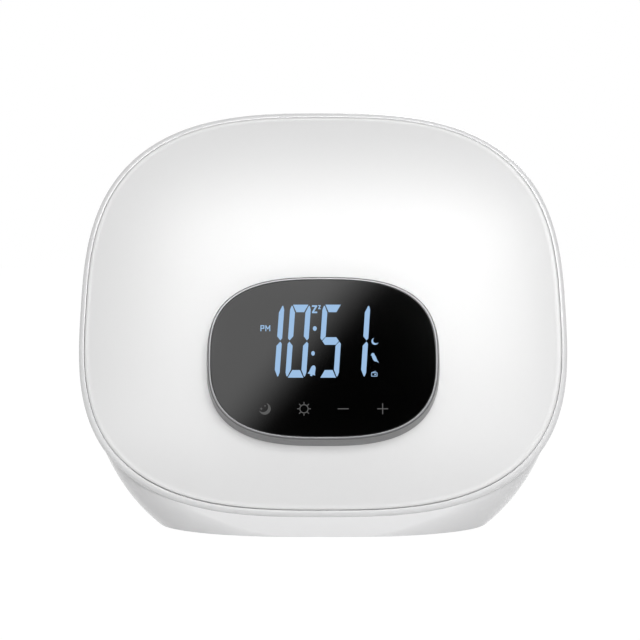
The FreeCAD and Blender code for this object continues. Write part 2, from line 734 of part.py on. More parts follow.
def speaker_grille():
    """Disc with parallel rounded slots that stop at a round field."""
    disc = rod(GRILLE_RADIUS, -GRILLE_THICKNESS, 0, 0, SPEAKER_Z)
    slots = []
    for i in range(GRILLE_SLOTS):
        up = (i - (GRILLE_SLOTS - 1) / 2) * GRILLE_PITCH
        length = 2 * math.sqrt(GRILLE_FIELD ** 2 - up ** 2)
        slots.append(pill(length, GRILLE_SLOT_WIDTH, -GRILLE_THICKNESS, 0, 0, SPEAKER_Z + up))
    return disc.cut(slots)


def flange_back():
    return -WALL - SPEAKER_GASKET - SPEAKER_FLANGE


def speaker_gasket():
    outer = SPEAKER_EAR_REACH - SPEAKER_EAR_RADIUS - SEAM_GAP
    disc = rod(outer, -WALL - SPEAKER_GASKET, -WALL, 0, SPEAKER_Z)
    return disc.cut(rod(SPEAKER_OPENING, -WALL - SPEAKER_GASKET, -WALL, 0, SPEAKER_Z))


def speaker_basket():
    """Pressed frame: a flange with four ears and an open cone down to the magnet."""
    front, back = -WALL - SPEAKER_GASKET, flange_back()
    floor = back - SPEAKER_DEPTH
    inner = CONE_RADIUS + SPEAKER_FLANGE
    profile = [(SPEAKER_RADIUS, front), (SPEAKER_RADIUS, back), (inner + SPEAKER_FLANGE, back),
               (MAGNET_RADIUS, floor), (CONE_NECK + SPEAKER_FLANGE, floor),
               (CONE_NECK + SPEAKER_FLANGE, floor + SPEAKER_FLANGE),
               (MAGNET_RADIUS - SPEAKER_FLANGE, floor + SPEAKER_FLANGE), (inner, back), (inner, front)]
    frame = revolved(profile, 0, SPEAKER_Z)
    window = block(4 * MAGNET_RADIUS, MAGNET_RADIUS, floor + 2 * SPEAKER_FLANGE, back - SPEAKER_FLANGE,
                   0, SPEAKER_Z)
    upright = window.copy()
    upright.rotate(Vector(0, SPEAKER_Z, 0), Vector(0, 0, 1), 90)
    ears = [rod(SPEAKER_EAR_RADIUS, back, front, x, y) for x, y in speaker_ears()]
    holes = [rod(SPEAKER_SCREW_HOLE, back, front, x, y) for x, y in speaker_ears()]
    opening = rod(inner, back, front, 0, SPEAKER_Z)
    return frame.cut([window, upright]).multiFuse(ears).cut(holes + [opening])


def speaker_magnet():
    top = flange_back() - SPEAKER_DEPTH
    return rod(MAGNET_RADIUS, top - MAGNET_HEIGHT, top, 0, SPEAKER_Z)


def speaker_cone():
    """Paper cone with its dust cap and voice coil."""
    lip = flange_back() + SURROUND_THICKNESS
    neck = lip - CONE_DEPTH
    profile = [(CONE_RADIUS, lip), (CONE_NECK, neck), (0, neck + CONE_NECK / 2), (0, neck - CONE_WALL),
               (CONE_NECK, neck - CONE_WALL), (CONE_RADIUS, lip - CONE_WALL)]
    return revolved(profile, 0, SPEAKER_Z)


def speaker_surround():
    back = flange_back()
    band = rod(CONE_RADIUS + SPEAKER_FLANGE, back, back + SURROUND_THICKNESS, 0, SPEAKER_Z)
    return band.cut(rod(CONE_RADIUS, back, back + SURROUND_THICKNESS, 0, SPEAKER_Z))


def speaker_screws():
    point = -WALL / 2 - SPEAKER_SCREW_RADIUS / 2
    head = SPEAKER_EAR_RADIUS - 0.5
    return Part.makeCompound([screw(flange_back(), point, x, y, SPEAKER_SCREW_RADIUS, head, head / 2)
                              for x, y in speaker_ears()])


def key(x):
    """Pill key with a flange that rests behind the back wall."""
    cap = pill(KEY_LENGTH, KEY_HEIGHT, -WALL - KEY_FLANGE, KEY_PROUD, x, KEY_Z)
    spread = 2 * (KEY_GAP + KEY_FLANGE)
    flange = pill(KEY_LENGTH + spread, KEY_HEIGHT + spread, -WALL - KEY_FLANGE, -WALL, x, KEY_Z)
    return cap.fuse(flange)


def plunger(x):
    stop = MAIN_OUTER + SWITCH_HEIGHT + KEY_TRAVEL + KEY_STOP_GAP
    return rod(PLUNGER_RADIUS, stop, -WALL - KEY_FLANGE, x, KEY_Z)


def switch_bodies():
    return Part.makeCompound([block(SWITCH_SIZE, SWITCH_SIZE, MAIN_OUTER, MAIN_OUTER + SWITCH_HEIGHT, x, KEY_Z)
                              for x in key_places()])


def main_board():
    middle = (MAIN_BOTTOM + MAIN_TOP) / 2
    board = block(2 * MAIN_HALF_WIDTH, MAIN_TOP - MAIN_BOTTOM, MAIN_INNER, MAIN_OUTER, 0, middle)
    return board.cut([rod(SCREW_HOLE, MAIN_INNER, MAIN_OUTER, x, y) for x, y in main_boss_places()])


def main_board_screws():
    point = MAIN_OUTER + SCREW_DEPTH
    return Part.makeCompound([screw(MAIN_INNER, point, x, y) for x, y in main_boss_places()])


def microcontroller():
    width, height, thickness = CHIP_SIZE
    return block(width, height, MAIN_INNER - thickness, MAIN_INNER, *CHIP_PLACE)


def electrolytic_capacitors():
    return Part.makeCompound([rod(CAPACITOR_RADIUS, MAIN_INNER - CAPACITOR_HEIGHT, MAIN_INNER, x, y)
                              for x, y in CAPACITOR_PLACES])


def board_connectors():
    width, height, thickness = CONNECTOR_SIZE
    return Part.makeCompound([block(width, height, MAIN_INNER - thickness, MAIN_INNER, x, y)
                              for x, y in CONNECTOR_PLACES])


def dc_jack():
    """Barrel socket on the board; its nose fills the hole in the wall."""
    x = -JACK_X
    body = block(JACK_WIDTH, JACK_BODY_HEIGHT, MAIN_OUTER, -WALL, x, JACK_Z)
    body = body.fuse(rod(JACK_NOSE_RADIUS, -WALL, -JACK_NOSE_GAP, x, JACK_Z))
    bottom = -JACK_NOSE_GAP - JACK_BORE_DEPTH
    body = body.cut(rod(JACK_BORE, bottom, 0, x, JACK_Z))
    return body.fuse(rod(JACK_PIN, bottom, -JACK_NOSE_GAP - JACK_PIN_RECESS, x, JACK_Z))


def cell_cap():
    """Bayonet cap: two lugs pass the entries in the lip and turn under it."""
    x, y = -CELL_X, CELL_Z
    cap = rod(CAP_RADIUS, -CAP_THICKNESS, 0, x, y).fuse(rod(CAP_HUB, -CELL_FRONT, -CAP_THICKNESS, x, y))
    lugs = [sector(LUG_RADIUS, LUG_ANGLE, -LUG_BOTTOM, -LUG_TOP, x, y, half) for half in (0, 180)]
    length, width, depth = COIN_SLOT
    return cap.multiFuse(lugs).cut(pill(length, width, -depth, 0, x, y))


def coin_cell():
    """Stepped coin cell, the narrow side forward."""
    x, y = -CELL_X, CELL_Z
    back = -CELL_FRONT - CELL_THICKNESS
    step = CELL_THICKNESS / 4
    can = rod(CELL_RADIUS, back + step, -CELL_FRONT, x, y)
    return can.fuse(rod(CELL_RADIUS - 1, back, back + step, x, y))


def cell_contact_minus():
    x, y = -CELL_X, CELL_Z
    back = -CELL_FRONT - CELL_THICKNESS
    return block(CONTACT_WIDTH, CELL_RADIUS, back - CONTACT_THICKNESS, back, x, y)


def cell_contact_plus():
    x, y = -CELL_X, CELL_Z
    floor = -CELL_FRONT - CELL_THICKNESS - CONTACT_THICKNESS
    place = CELL_RADIUS + CELL_GAP / 2 + CONTACT_THICKNESS / 2
    return block(CONTACT_WIDTH, CELL_GAP + CONTACT_THICKNESS, floor, -CELL_FRONT, x, y + place)


def footprint(inset, low, thickness):
    """A straight plate cut to the housing's inner footprint, clear of its leaning front wall."""
    skin = cavity_skin(inset)
    outline = skin.slice(Vector(0, 0, 1), FOOT_LIFT)[0]
    plate = Part.Face(outline).extrude(Vector(0, 0, thickness))
    plate.translate(Vector(0, 0, low - FOOT_LIFT))
    return plate.common(skin)


def base_plate():
    plate = footprint(WALL + PLATE_GAP, PLATE_LIFT, PLATE_THICKNESS)
    holes = []
    for x, y in base_places():
        holes.append(rod(SCREW_HOLE, PLATE_LIFT, PLATE_LIFT + PLATE_THICKNESS, x, y))
        holes.append(rod(SCREW_HEAD_RADIUS + SEAM_GAP, PLATE_LIFT, PLATE_LIFT + RIB, x, y))
    return plate.cut(holes)


def base_screws():
    seat = PLATE_LIFT + RIB
    return Part.makeCompound([screw(seat, seat + SCREW_DEPTH, x, y, height=RIB) for x, y in base_places()])


def non_slip_pad():
    return footprint(WALL + PAD_INSET, 0, PLATE_LIFT)


def band(points, thickness, width):
    """A flat band that follows points in the middle plane of the clock."""
    sides = []
    for side in (-1, 1):
        edge = []
        for i, point in enumerate(points):
            before = points[max(i - 1, 0)]
            after = points[min(i + 1, len(points) - 1)]
            along = (after - before).normalize()
            edge.append(point + Vector(0, -along.z, along.y) * side * thickness / 2)
        sides.append(edge)
    corners = sides[0] + sides[1][::-1]
    outline = Part.Face(Part.makePolygon(corners + corners[:1]))
    strip = outline.extrude(Vector(width, 0, 0))
    strip.translate(Vector(-width / 2, 0, 0))
    return strip


def display_ribbon():
    """Flat cable from the back of the display board through the slots to the upper connector."""
    up = POD_Y + RIBBON_Y
    start = FACE.multVec(Vector(0, up, DISPLAY_BOARD_BACK))
    turn = FACE.multVec(Vector(0, up, RIBBON_TURN))
    _, height, thickness = CONNECTOR_SIZE
    plug_y = BACK_Y + MAIN_INNER - thickness
    plug_z = CONNECTOR_PLACES[0][1]
    bend = Vector(0, plug_y - height, plug_z)
    return band([start, turn, bend, Vector(0, plug_y, plug_z)], RIBBON_THICKNESS, RIBBON_WIDTH)


def save(name, shape, frame=ROW):
    placed(shape, frame).exportStep("parts/%s.step" % name)


def main():
    os.makedirs("parts", exist_ok=True)
    save("rear_housing", rear_housing())
    save("front_diffuser", front_diffuser(), FACE)
    save("pod_gasket", pod_gasket(), FACE)
    save("pod_bezel", pod_bezel(), FACE)
    save("cover_lens", cover_lens(), FACE)
    save("display_tub", display_tub(), FACE)
    save("display_board", display_board(), FACE)
    save("display_driver", display_driver(), FACE)
    save("lcd_glass", lcd_glass(), FACE)
    save("lcd_frame", lcd_frame(), FACE)
    save("elastomer_strip", elastomer_strip(), FACE)
    save("backlight_guide", backlight_guide(), FACE)
    save("backlight_leds", backlight_leds(), FACE)
    save("touch_electrodes", touch_electrodes(), FACE)
    save("display_board_screws", display_board_screws(), FACE)
    save("reflector_tray", reflector_tray(), FACE)
    save("led_board", led_board(), FACE)
    save("leds_warm_white", leds(0), FACE)
    save("leds_amber", leds(1), FACE)
    save("led_board_screws", led_board_screws(), FACE)
    save("tub_screws", tub_screws(), FACE)
    save("diffuser_screws", diffuser_screws(), FACE)
    save("housing_screws", housing_screws(), FACE)
    save("speaker_grille", speaker_grille(), BACK)
    save("speaker_gasket", speaker_gasket(), BACK)
    save("speaker_basket", speaker_basket(), BACK)
    save("speaker_magnet", speaker_magnet(), BACK)
    save("speaker_cone", speaker_cone(), BACK)
    save("speaker_surround", speaker_surround(), BACK)
    save("speaker_screws", speaker_screws(), BACK)
    for name, x in zip(KEY_NAMES, key_places()):
        save(name, key(x), BACK)
        save(name + "_plunger", plunger(x), BACK)
    save("switch_bodies", switch_bodies(), BACK)
    save("main_board", main_board(), BACK)
    save("main_board_screws", main_board_screws(), BACK)
    save("microcontroller", microcontroller(), BACK)
    save("electrolytic_capacitors", electrolytic_capacitors(), BACK)
    save("board_connectors", board_connectors(), BACK)
    save("dc_jack", dc_jack(), BACK)
    save("cell_cap", cell_cap(), BACK)
    save("coin_cell", coin_cell(), BACK)
    save("cell_contact_minus", cell_contact_minus(), BACK)
    save("cell_contact_plus", cell_contact_plus(), BACK)
    save("base_plate", base_plate())
    save("base_screws", base_screws())
    save("non_slip_pad", non_slip_pad())
    save("display_ribbon", display_ribbon())


main()
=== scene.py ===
import json
import math

import bmesh
import bpy
import numpy as np
from bpy.props import FloatProperty, FloatVectorProperty, PointerProperty
from mathutils import Matrix, Vector


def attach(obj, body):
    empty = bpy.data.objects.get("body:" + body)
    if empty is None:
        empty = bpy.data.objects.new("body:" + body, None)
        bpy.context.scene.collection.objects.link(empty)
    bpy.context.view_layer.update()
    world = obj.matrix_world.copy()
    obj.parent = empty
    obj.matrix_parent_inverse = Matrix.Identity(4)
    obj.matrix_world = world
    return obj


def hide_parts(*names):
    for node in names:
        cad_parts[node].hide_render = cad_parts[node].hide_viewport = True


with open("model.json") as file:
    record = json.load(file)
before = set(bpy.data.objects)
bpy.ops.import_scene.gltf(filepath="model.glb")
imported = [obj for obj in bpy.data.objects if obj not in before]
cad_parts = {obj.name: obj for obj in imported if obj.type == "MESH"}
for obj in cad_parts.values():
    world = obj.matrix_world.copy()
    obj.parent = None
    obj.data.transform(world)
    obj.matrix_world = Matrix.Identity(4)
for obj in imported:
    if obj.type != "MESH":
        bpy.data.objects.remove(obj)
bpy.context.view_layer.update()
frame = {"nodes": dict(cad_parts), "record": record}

bl_info = {
    "name": "Sunrise alarm clock",
    "version": (1, 0, 0),
    "blender": (4, 5, 0),
    "location": "3D View > Sidebar > Clock",
    "description": "Skins, display and studio of a sunrise alarm clock round its CAD model",
    "category": "Object",
}

# Metres, in the CAD frame: X right, the face looks to -Y and leans back, +Z up.
MM = 0.001
BODY = "clock"

# Fine steps of the worked-out surfaces, and how near points are that become one
RING_STEPS = 288
SIDE_STEPS = 72
CAVITY_STEPS = 24
DOME_STEPS = 64
CORNER_STEPS = 8
HOLE_STEPS = 128
WELL_STEPS = 48
JOINED = 1e-7

# Forms shared with the CAD model
FACE_POWER = 2.9
FACE_EGG = 0.03
POD_POWER = 2.8
FLANK_POWER = 2.5
BACK_ROUNDING = 2.2
FOOT_POWER = 2.3
DOME_POWER = 3.2
WALL = 2.5 * MM
RIM_STEP = 0.25 * MM
BACK_Y = 32 * MM
BACK_CENTRE_Z = 80 * MM
BACK_HALF_WIDTH = 52 * MM
BACK_HALF_HEIGHT = 41 * MM
FOOT_FRONT_WIDTH = 5 * MM
FLOOR_GAP = 0.6 * MM

# What the back carries. Depths are measured out of the back, so those inside it are negative.
SPEAKER_Z = 92 * MM
GRILLE_HOLE = 20.5 * MM
GRILLE_DEPTH = 1.2 * MM
SPEAKER_HOLE = 17.2 * MM
SEAT_SHARE = 0.985
SEAT_LIFT = 0.4 * MM
KEY_Z = 58 * MM
KEY_HOLE = (11.7 * MM, 7.2 * MM)
KEY_PLACES = (-24 * MM, -8 * MM, 8 * MM, 24 * MM)
JACK_PLACE = (24 * MM, 30 * MM)
JACK_HOLE = 4.8 * MM
CELL_PLACE = (-18 * MM, 32 * MM)
CAP_BORE = 11.8 * MM
CAP_LUG_BORE = 13.3 * MM
CAP_ENTRY_TURN = math.radians(45)
CAP_ENTRY_HALF = math.radians(19)
CELL_BORE = 10.35 * MM
CELL_FLOOR = -7.0 * MM
LUG_FLOOR = -3.4 * MM
BAY_RADIUS = 15.2 * MM
BAY_TOP = -2.4 * MM
BAY_BOTTOM = -8.2 * MM
WELL_PLACE = (38 * MM, 32 * MM)
WELL_RADIUS = 4.7 * MM
WELL_BORE = 3.25 * MM
WELL_TOP = -20 * MM
WELL_PLATE = 3 * MM
WELL_SUNK = 0.05 * MM


class ClockSizes(bpy.types.PropertyGroup):
    """Sizes of the skins, in metres."""

    lean: FloatProperty(
        name="Face lean", description="Angle by which the face leans back",
        default=math.radians(14), subtype="ANGLE")
    centre: FloatVectorProperty(
        name="Face centre", description="Middle of the seam round the face",
        default=(0, -19 * MM, 84 * MM), subtype="TRANSLATION", unit="LENGTH")
    half_width: FloatProperty(
        name="Face half-width", description="From the middle to the seam, sideways",
        default=89.7 * MM, unit="LENGTH")
    half_height: FloatProperty(
        name="Face half-height", description="From the middle to the seam, upwards",
        default=75.7 * MM, unit="LENGTH")
    rim: FloatProperty(
        name="Rim", description="Width of the rounded rim outside the seam",
        default=2.2 * MM, unit="LENGTH")
    rim_depth: FloatProperty(
        name="Rim depth", description="How far the rim's rounding runs back",
        default=2.5 * MM, unit="LENGTH")
    seam: FloatProperty(
        name="Seam", description="Gap between rim and diffuser",
        default=0.25 * MM, unit="LENGTH")
    dome_rise: FloatProperty(
        name="Dome rise", description="Crown of the diffuser",
        default=10.2 * MM, unit="LENGTH")
    pod_drop: FloatProperty(
        name="Pod place", description="Middle of the display pod below the face's middle",
        default=21.8 * MM, unit="LENGTH")
    pod_half_width: FloatProperty(
        name="Pod half-width", description="Outer half-width of the bezel ring",
        default=42.9 * MM, unit="LENGTH")
    pod_half_height: FloatProperty(
        name="Pod half-height", description="Outer half-height of the bezel ring",
        default=30.9 * MM, unit="LENGTH")
    pod_front: FloatProperty(
        name="Pod front", description="The lens stands this far before the seam",
        default=20.0 * MM, unit="LENGTH")
    foot: FloatProperty(
        name="Foot half-width", description="Half-width of the housing where it meets the table",
        default=61.5 * MM, unit="LENGTH")


class ClockColours(bpy.types.PropertyGroup):
    """Colours of what shows."""

    housing: FloatVectorProperty(
        name="Housing", description="Moulded white of the housing",
        default=(0.84, 0.84, 0.845), subtype="COLOR")
    diffuser: FloatVectorProperty(
        name="Diffuser", description="Opal white of the light face",
        default=(0.86, 0.86, 0.86), subtype="COLOR")
    bezel: FloatVectorProperty(
        name="Bezel", description="Satin metal of the pod's ring",
        default=(0.13, 0.13, 0.133), subtype="COLOR")
    lens: FloatVectorProperty(
        name="Lens", description="Black of the cover lens",
        default=(0.0004, 0.0004, 0.0004), subtype="COLOR")
    digits: FloatVectorProperty(
        name="Digits", description="Pale blue of the lit segments",
        default=(0.337, 0.521, 0.768), subtype="COLOR")
    # Painted glow: the touch signs give out this grey as light instead of being lit by the lamps
    signs: FloatVectorProperty(
        name="Touch signs", description="Grey of the printed touch signs",
        default=(0.105, 0.105, 0.105), subtype="COLOR")


def sizes():
    """The sizes as they stand in the scene."""
    return bpy.context.scene.clock_sizes


def colours():
    """The colours as they stand in the scene."""
    return bpy.context.scene.clock_colours


# Surfaces


def superellipse(turn, width, height, power, egg=0.0, low_height=None, low_power=None):
    """Closed outline by its polar angle: |cos/a|^n + |sin/b|^n = r^-n, the lower half with its own b and n,
    and x narrowed upwards by the egg share."""
    across, up = np.cos(turn), np.sin(turn)
    low_height = height if low_height is None else low_height
    low_power = power if low_power is None else low_power
    b = np.where(up < 0, low_height, height)
    n = np.where(up < 0, low_power, power)
    radius = (np.abs(across / width) ** n + np.abs(up / b) ** n) ** (-1 / n)
    x, y = radius * across, radius * up
    return x * (1 - egg * y / height), y


def from_face(points):
    """Points of the face frame (x right, y up the face, z out of it) carried into the CAD frame."""
    s = sizes()
    lean = s.lean
    x, y, z = points[..., 0], points[..., 1], points[..., 2]
    cad_y = s.centre[1] + np.sin(lean) * y - np.cos(lean) * z
    cad_z = s.centre[2] + np.cos(lean) * y + np.sin(lean) * z
    return np.stack([x, cad_y, cad_z], axis=-1)


def grid_faces(rows, columns, close_rows, close_columns):
    """Quads over a grid of points, row by row, that wraps in either direction if asked."""
    i = np.arange(rows if close_rows else rows - 1)
    j = np.arange(columns if close_columns else columns - 1)
    i, j = np.meshgrid(i, j, indexing="ij")
    k, m = (i + 1) % rows, (j + 1) % columns
    corners = (i * columns + j, i * columns + m, k * columns + m, k * columns + j)
    return np.stack(corners, axis=-1).reshape(-1, 4)


def linked(name, data):
    """An object for a mesh, curve, lamp or camera, put into the scene at the origin."""
    piece = bpy.data.objects.new(name, data)
    bpy.context.scene.collection.objects.link(piece)
    return piece


def mesh_object(name, points, quads, ends=()):
    """A smooth-shaded object from points and quads, with flat polygons that close its ends."""
    faces = [list(map(int, q)) for q in quads] + [list(map(int, e)) for e in ends]
    mesh = bpy.data.meshes.new(name)
    mesh.from_pydata(points.reshape(-1, 3).tolist(), [], faces)
    mesh.validate()
    flat = np.arange(len(faces)) >= len(quads)
    mesh.polygons.foreach_set("use_smooth", ~flat)
    return linked(name, mesh)


def swept_ring(name, profile, width, height, power, egg=0.0, drop=0.0):
    """A closed ring: the profile of (inset, height) pairs, itself closed, is carried round a superellipse
    whose half-sizes are lessened by the inset."""
    inset, out = profile[:, 0][:, None], profile[:, 1][:, None]
    turn = np.linspace(0, 2 * np.pi, RING_STEPS, endpoint=False)[None, :]
    x, y = superellipse(turn, width - inset, height - inset, power, egg)
    points = np.stack([x, y - drop, np.broadcast_to(out, x.shape)], axis=-1)
    quads = grid_faces(len(profile), RING_STEPS, True, True)
    return mesh_object(name, from_face(points), quads[:, ::-1])


def quarter(centre, radius, start, end, steps=CORNER_STEPS):
    """Points of an arc about a centre, in (inset, height), between two angles in degrees."""
    turn = np.radians(np.linspace(start, end, steps + 1))
    across, up = centre[0] + radius[0] * np.cos(turn), centre[1] + radius[1] * np.sin(turn)
    return np.stack([across, up], axis=-1)


def merge(piece):
    """Joins doubled points, such as those of a pole, and turns every face outwards."""
    work = bmesh.new()
    work.from_mesh(piece.data)
    bmesh.ops.remove_doubles(work, verts=work.verts, dist=JOINED)
    bmesh.ops.recalc_face_normals(work, faces=work.faces)
    work.to_mesh(piece.data)
    work.free()
    return piece


def dress(piece, material, body=BODY, instead=()):
    """Gives a piece its material, ties it to its body and hides the CAD nodes
    that it stands for."""
    piece.data.materials.clear()
    piece.data.materials.append(material)
    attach(piece, body)
    if instead:
        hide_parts(*instead)
    return piece


def sharpen(piece, angle):
    """Keeps edges crisp where faces meet at more than the angle, in degrees, and flat caps flat."""
    smooth = np.zeros(len(piece.data.polygons), dtype=bool)
    piece.data.polygons.foreach_get("use_smooth", smooth)
    piece.data.set_sharp_from_angle(angle=math.radians(angle))
    piece.data.polygons.foreach_set("use_smooth", smooth)
    return piece


# Materials
GRAIN = 600.0
RELIEF_DEPTH = 0.05 * MM
COAT_ROUGHNESS = 0.05


def finish(name, colour, roughness, metallic=0.0, coat=0.0, specular=0.5, change=0.04, glow=None, bump=0.0):
    """A shader whose roughness wavers slightly with fine noise over Object coordinates."""
    material = bpy.data.materials.new(name)
    material.use_nodes = True
    nodes, links = material.node_tree.nodes, material.node_tree.links
    shader = nodes["Principled BSDF"]
    shader.inputs["Base Color"].default_value = (*colour, 1)
    shader.inputs["Metallic"].default_value = metallic
    shader.inputs["Coat Weight"].default_value = coat
    shader.inputs["Coat Roughness"].default_value = COAT_ROUGHNESS
    shader.inputs["Specular IOR Level"].default_value = specular
    place = nodes.new("ShaderNodeTexCoord")
    noise = nodes.new("ShaderNodeTexNoise")
    noise.inputs["Scale"].default_value = GRAIN
    noise.inputs["Detail"].default_value = 2
    span = nodes.new("ShaderNodeMapRange")
    span.inputs["To Min"].default_value = roughness * (1 - change)
    span.inputs["To Max"].default_value = roughness * (1 + change)
    links.new(place.outputs["Object"], noise.inputs["Vector"])
    links.new(noise.outputs["Fac"], span.inputs["Value"])
    links.new(span.outputs["Result"], shader.inputs["Roughness"])
    if bump:
        relief = nodes.new("ShaderNodeBump")
        relief.inputs["Strength"].default_value = bump
        relief.inputs["Distance"].default_value = RELIEF_DEPTH
        links.new(noise.outputs["Fac"], relief.inputs["Height"])
        links.new(relief.outputs["Normal"], shader.inputs["Normal"])
    if glow:
        shader.inputs["Emission Color"].default_value = (*glow, 1)
        shader.inputs["Emission Strength"].default_value = 1.0
    return material


# Housing


def foot_spread(path):
    """Share of the foot's half-width along the way back: a superellipse from its front to its middle."""
    lead = np.clip(1 - path / 0.5, 0, 1)
    return (1 - lead ** FOOT_POWER) ** (1 / FOOT_POWER)


def housing_rings(steps, depth, back_y, inset):
    """Rings of the housing for each share of the way from the leaning rim to the upright back.

    Each ring is a superellipse; its upper half closes in by q = 1 - (1 - s^2.2)^(1/2.2) and its lower
    half is as deep as puts the ring on the table at the foot's half-width. It is drawn from foot to foot.
    """
    s = sizes()
    path = (1 - np.cos(np.linspace(0, np.pi, steps + 1))) / 2
    lean, outer_w, outer_h = s.lean, s.half_width + s.rim, s.half_height + s.rim
    front = np.array([s.centre[1] + math.cos(lean) * depth, s.centre[2] - math.sin(lean) * depth])
    middle = front + (np.array([back_y, BACK_CENTRE_Z]) - front) * path[:, None]
    closing = 1 - (1 - path ** BACK_ROUNDING) ** (1 / BACK_ROUNDING)
    width = outer_w - inset + (BACK_HALF_WIDTH - outer_w) * closing
    height = outer_h - inset + (BACK_HALF_HEIGHT - outer_h) * closing
    tilt = lean * (1 - path)
    spread = foot_spread(path)
    foot = (FOOT_FRONT_WIDTH + (s.foot - FOOT_FRONT_WIDTH) * spread) * width / (outer_w - inset) - inset
    bend = 2 + (FLANK_POWER - 2) * spread
    low = middle[:, 1] / np.cos(tilt) / (1 - (foot / width) ** bend) ** (1 / bend)
    meet = (FLOOR_GAP - middle[:, 1]) / np.cos(tilt)
    meet_x = width * (1 - (np.abs(meet) / low) ** bend) ** (1 / bend)
    meet_x *= 1 - FACE_EGG * meet / height
    start = np.arctan2(meet, meet_x)
    share = np.linspace(0, 1, RING_STEPS + 1)
    turn = start[:, None] + (np.pi - 2 * start[:, None]) * share
    x, v = superellipse(turn, *(a[:, None] for a in (width, height)), FACE_POWER, FACE_EGG,
                        low[:, None], bend[:, None])
    y = middle[:, 0][:, None] + v * np.sin(tilt)[:, None]
    z = np.maximum(middle[:, 1][:, None] + v * np.cos(tilt)[:, None], FLOOR_GAP)
    return np.stack([x, y, z], axis=-1)


def housing_shell():
    """Closed shell: the flat front in the leaning plane, the outer rings, the back's edge, the rings of the
    cavity and the back of the flat front. It stands on a flat floor."""
    s = sizes()
    share = np.linspace(0, 1, RING_STEPS + 1)
    around = -np.pi / 2 + 2 * np.pi * share
    x, y = superellipse(around, s.half_width - WALL, s.half_height - WALL, FACE_POWER, FACE_EGG)
    seats = [from_face(np.stack([x, y, np.full_like(x, -depth)], axis=-1))[None]
             for depth in (s.rim_depth, 2 * s.rim_depth)]
    outer = housing_rings(SIDE_STEPS, s.rim_depth, BACK_Y, RIM_STEP)
    inner = housing_rings(CAVITY_STEPS, 2 * s.rim_depth, BACK_Y - WALL, WALL)[::-1]
    points = np.concatenate([seats[0], outer, inner, seats[1]])
    rows, columns = points.shape[:2]
    first = np.arange(rows) * columns
    last = first + columns - 1
    loop = first[1:-1]
    ends = [loop, loop[::-1] + columns - 1, (first[0], last[1], first[1]),
            (first[-1], first[-2], last[-2]), (first[1], last[1], last[-2], first[-2])]
    return merge(mesh_object("housing_shell", points, grid_faces(rows, columns, True, False), ends))


def loop_curve(data, points):
    """Adds one closed outline to a flat curve."""
    spline = data.splines.new("POLY")
    spline.points.add(len(points) - 1)
    flat = np.zeros((len(points), 4))
    flat[:, :2] = points
    flat[:, 3] = 1
    spline.points.foreach_set("co", flat.ravel())
    spline.use_cyclic_u = True


def circle(x, y, rx, ry=None, steps=64):
    """Points of a circle, or of an ellipse if a second radius is given."""
    turn = np.linspace(0, 2 * np.pi, steps, endpoint=False)
    ry = rx if ry is None else ry
    return np.stack([x + rx * np.cos(turn), y + ry * np.sin(turn)], axis=-1)


def pill(x, y, length, height):
    """Points of a slot with round ends."""
    radius, reach = height / 2, (length - height) / 2
    turn = np.linspace(-np.pi / 2, np.pi / 2, 2 * CORNER_STEPS + 1)
    right = np.stack([reach + radius * np.cos(turn), radius * np.sin(turn)], axis=-1)
    return np.concatenate([right, -right]) + (x, y)


def cap_hole():
    """The bayonet's hole: a circle widened to the lugs' radius over two opposite sectors."""
    turn = np.linspace(0, 2 * np.pi, 240, endpoint=False)
    off = np.abs((turn - CAP_ENTRY_TURN + np.pi / 2) % np.pi - np.pi / 2)
    radius = np.where(off < CAP_ENTRY_HALF, CAP_LUG_BORE, CAP_BORE)
    across, up = -CELL_PLACE[0] + radius * np.cos(turn), CELL_PLACE[1] + radius * np.sin(turn)
    return np.stack([across, up], axis=-1)


def back_plate(name, outline, holes, low, high):
    """A plate with holes, drawn as seen from behind, between two depths measured out of the back."""
    data = bpy.data.curves.new(name, "CURVE")
    data.dimensions = "2D"
    data.fill_mode = "BOTH"
    data.extrude = (high - low) / 2
    for points in [outline] + holes:
        loop_curve(data, points)
    drawn = linked(name + "_drawn", data)
    bpy.context.view_layer.update()
    flat = drawn.evaluated_get(bpy.context.evaluated_depsgraph_get())
    mesh = bpy.data.meshes.new_from_object(flat)
    bpy.data.objects.remove(drawn)
    bpy.data.curves.remove(data)
    mesh.name = name
    middle = BACK_Y + (high + low) / 2
    mesh.transform(Matrix(((-1, 0, 0, 0), (0, 0, 1, middle), (0, 1, 0, 0), (0, 0, 0, 1))))
    return merge(linked(name, mesh))


def well_places():
    """Places of the four screw wells in the face frame, two to each side."""
    return [(i * WELL_PLACE[0], j * WELL_PLACE[1]) for i in (1, -1) for j in (1, -1)]


def well_reach(up):
    """Depth, out of the face, at which a line along the face's axis meets the back."""
    s = sizes()
    return (s.centre[1] + math.sin(s.lean) * up - BACK_Y) / math.cos(s.lean)


def well_tube(name, x, y):
    """Blind tube for a housing screw: a profile turned about the face's axis, cut off by the back plane."""
    turn = np.linspace(0, 2 * np.pi, WELL_STEPS, endpoint=False)
    rows = []
    for radius, depth in ((0, WELL_TOP), (WELL_RADIUS, WELL_TOP), (WELL_RADIUS, None), (WELL_BORE, None),
                          (WELL_BORE, WELL_TOP - WELL_PLATE), (0, WELL_TOP - WELL_PLATE)):
        px, py = x + radius * np.cos(turn), y + radius * np.sin(turn)
        pz = np.full_like(px, depth) if depth is not None else well_reach(py) + WELL_SUNK
        rows.append(np.stack([px, py, pz], axis=-1))
    quads = grid_faces(len(rows), len(turn), False, True)[:, ::-1]
    tube = mesh_object(name, from_face(np.array(rows)), quads)
    return sharpen(merge(tube), 40)


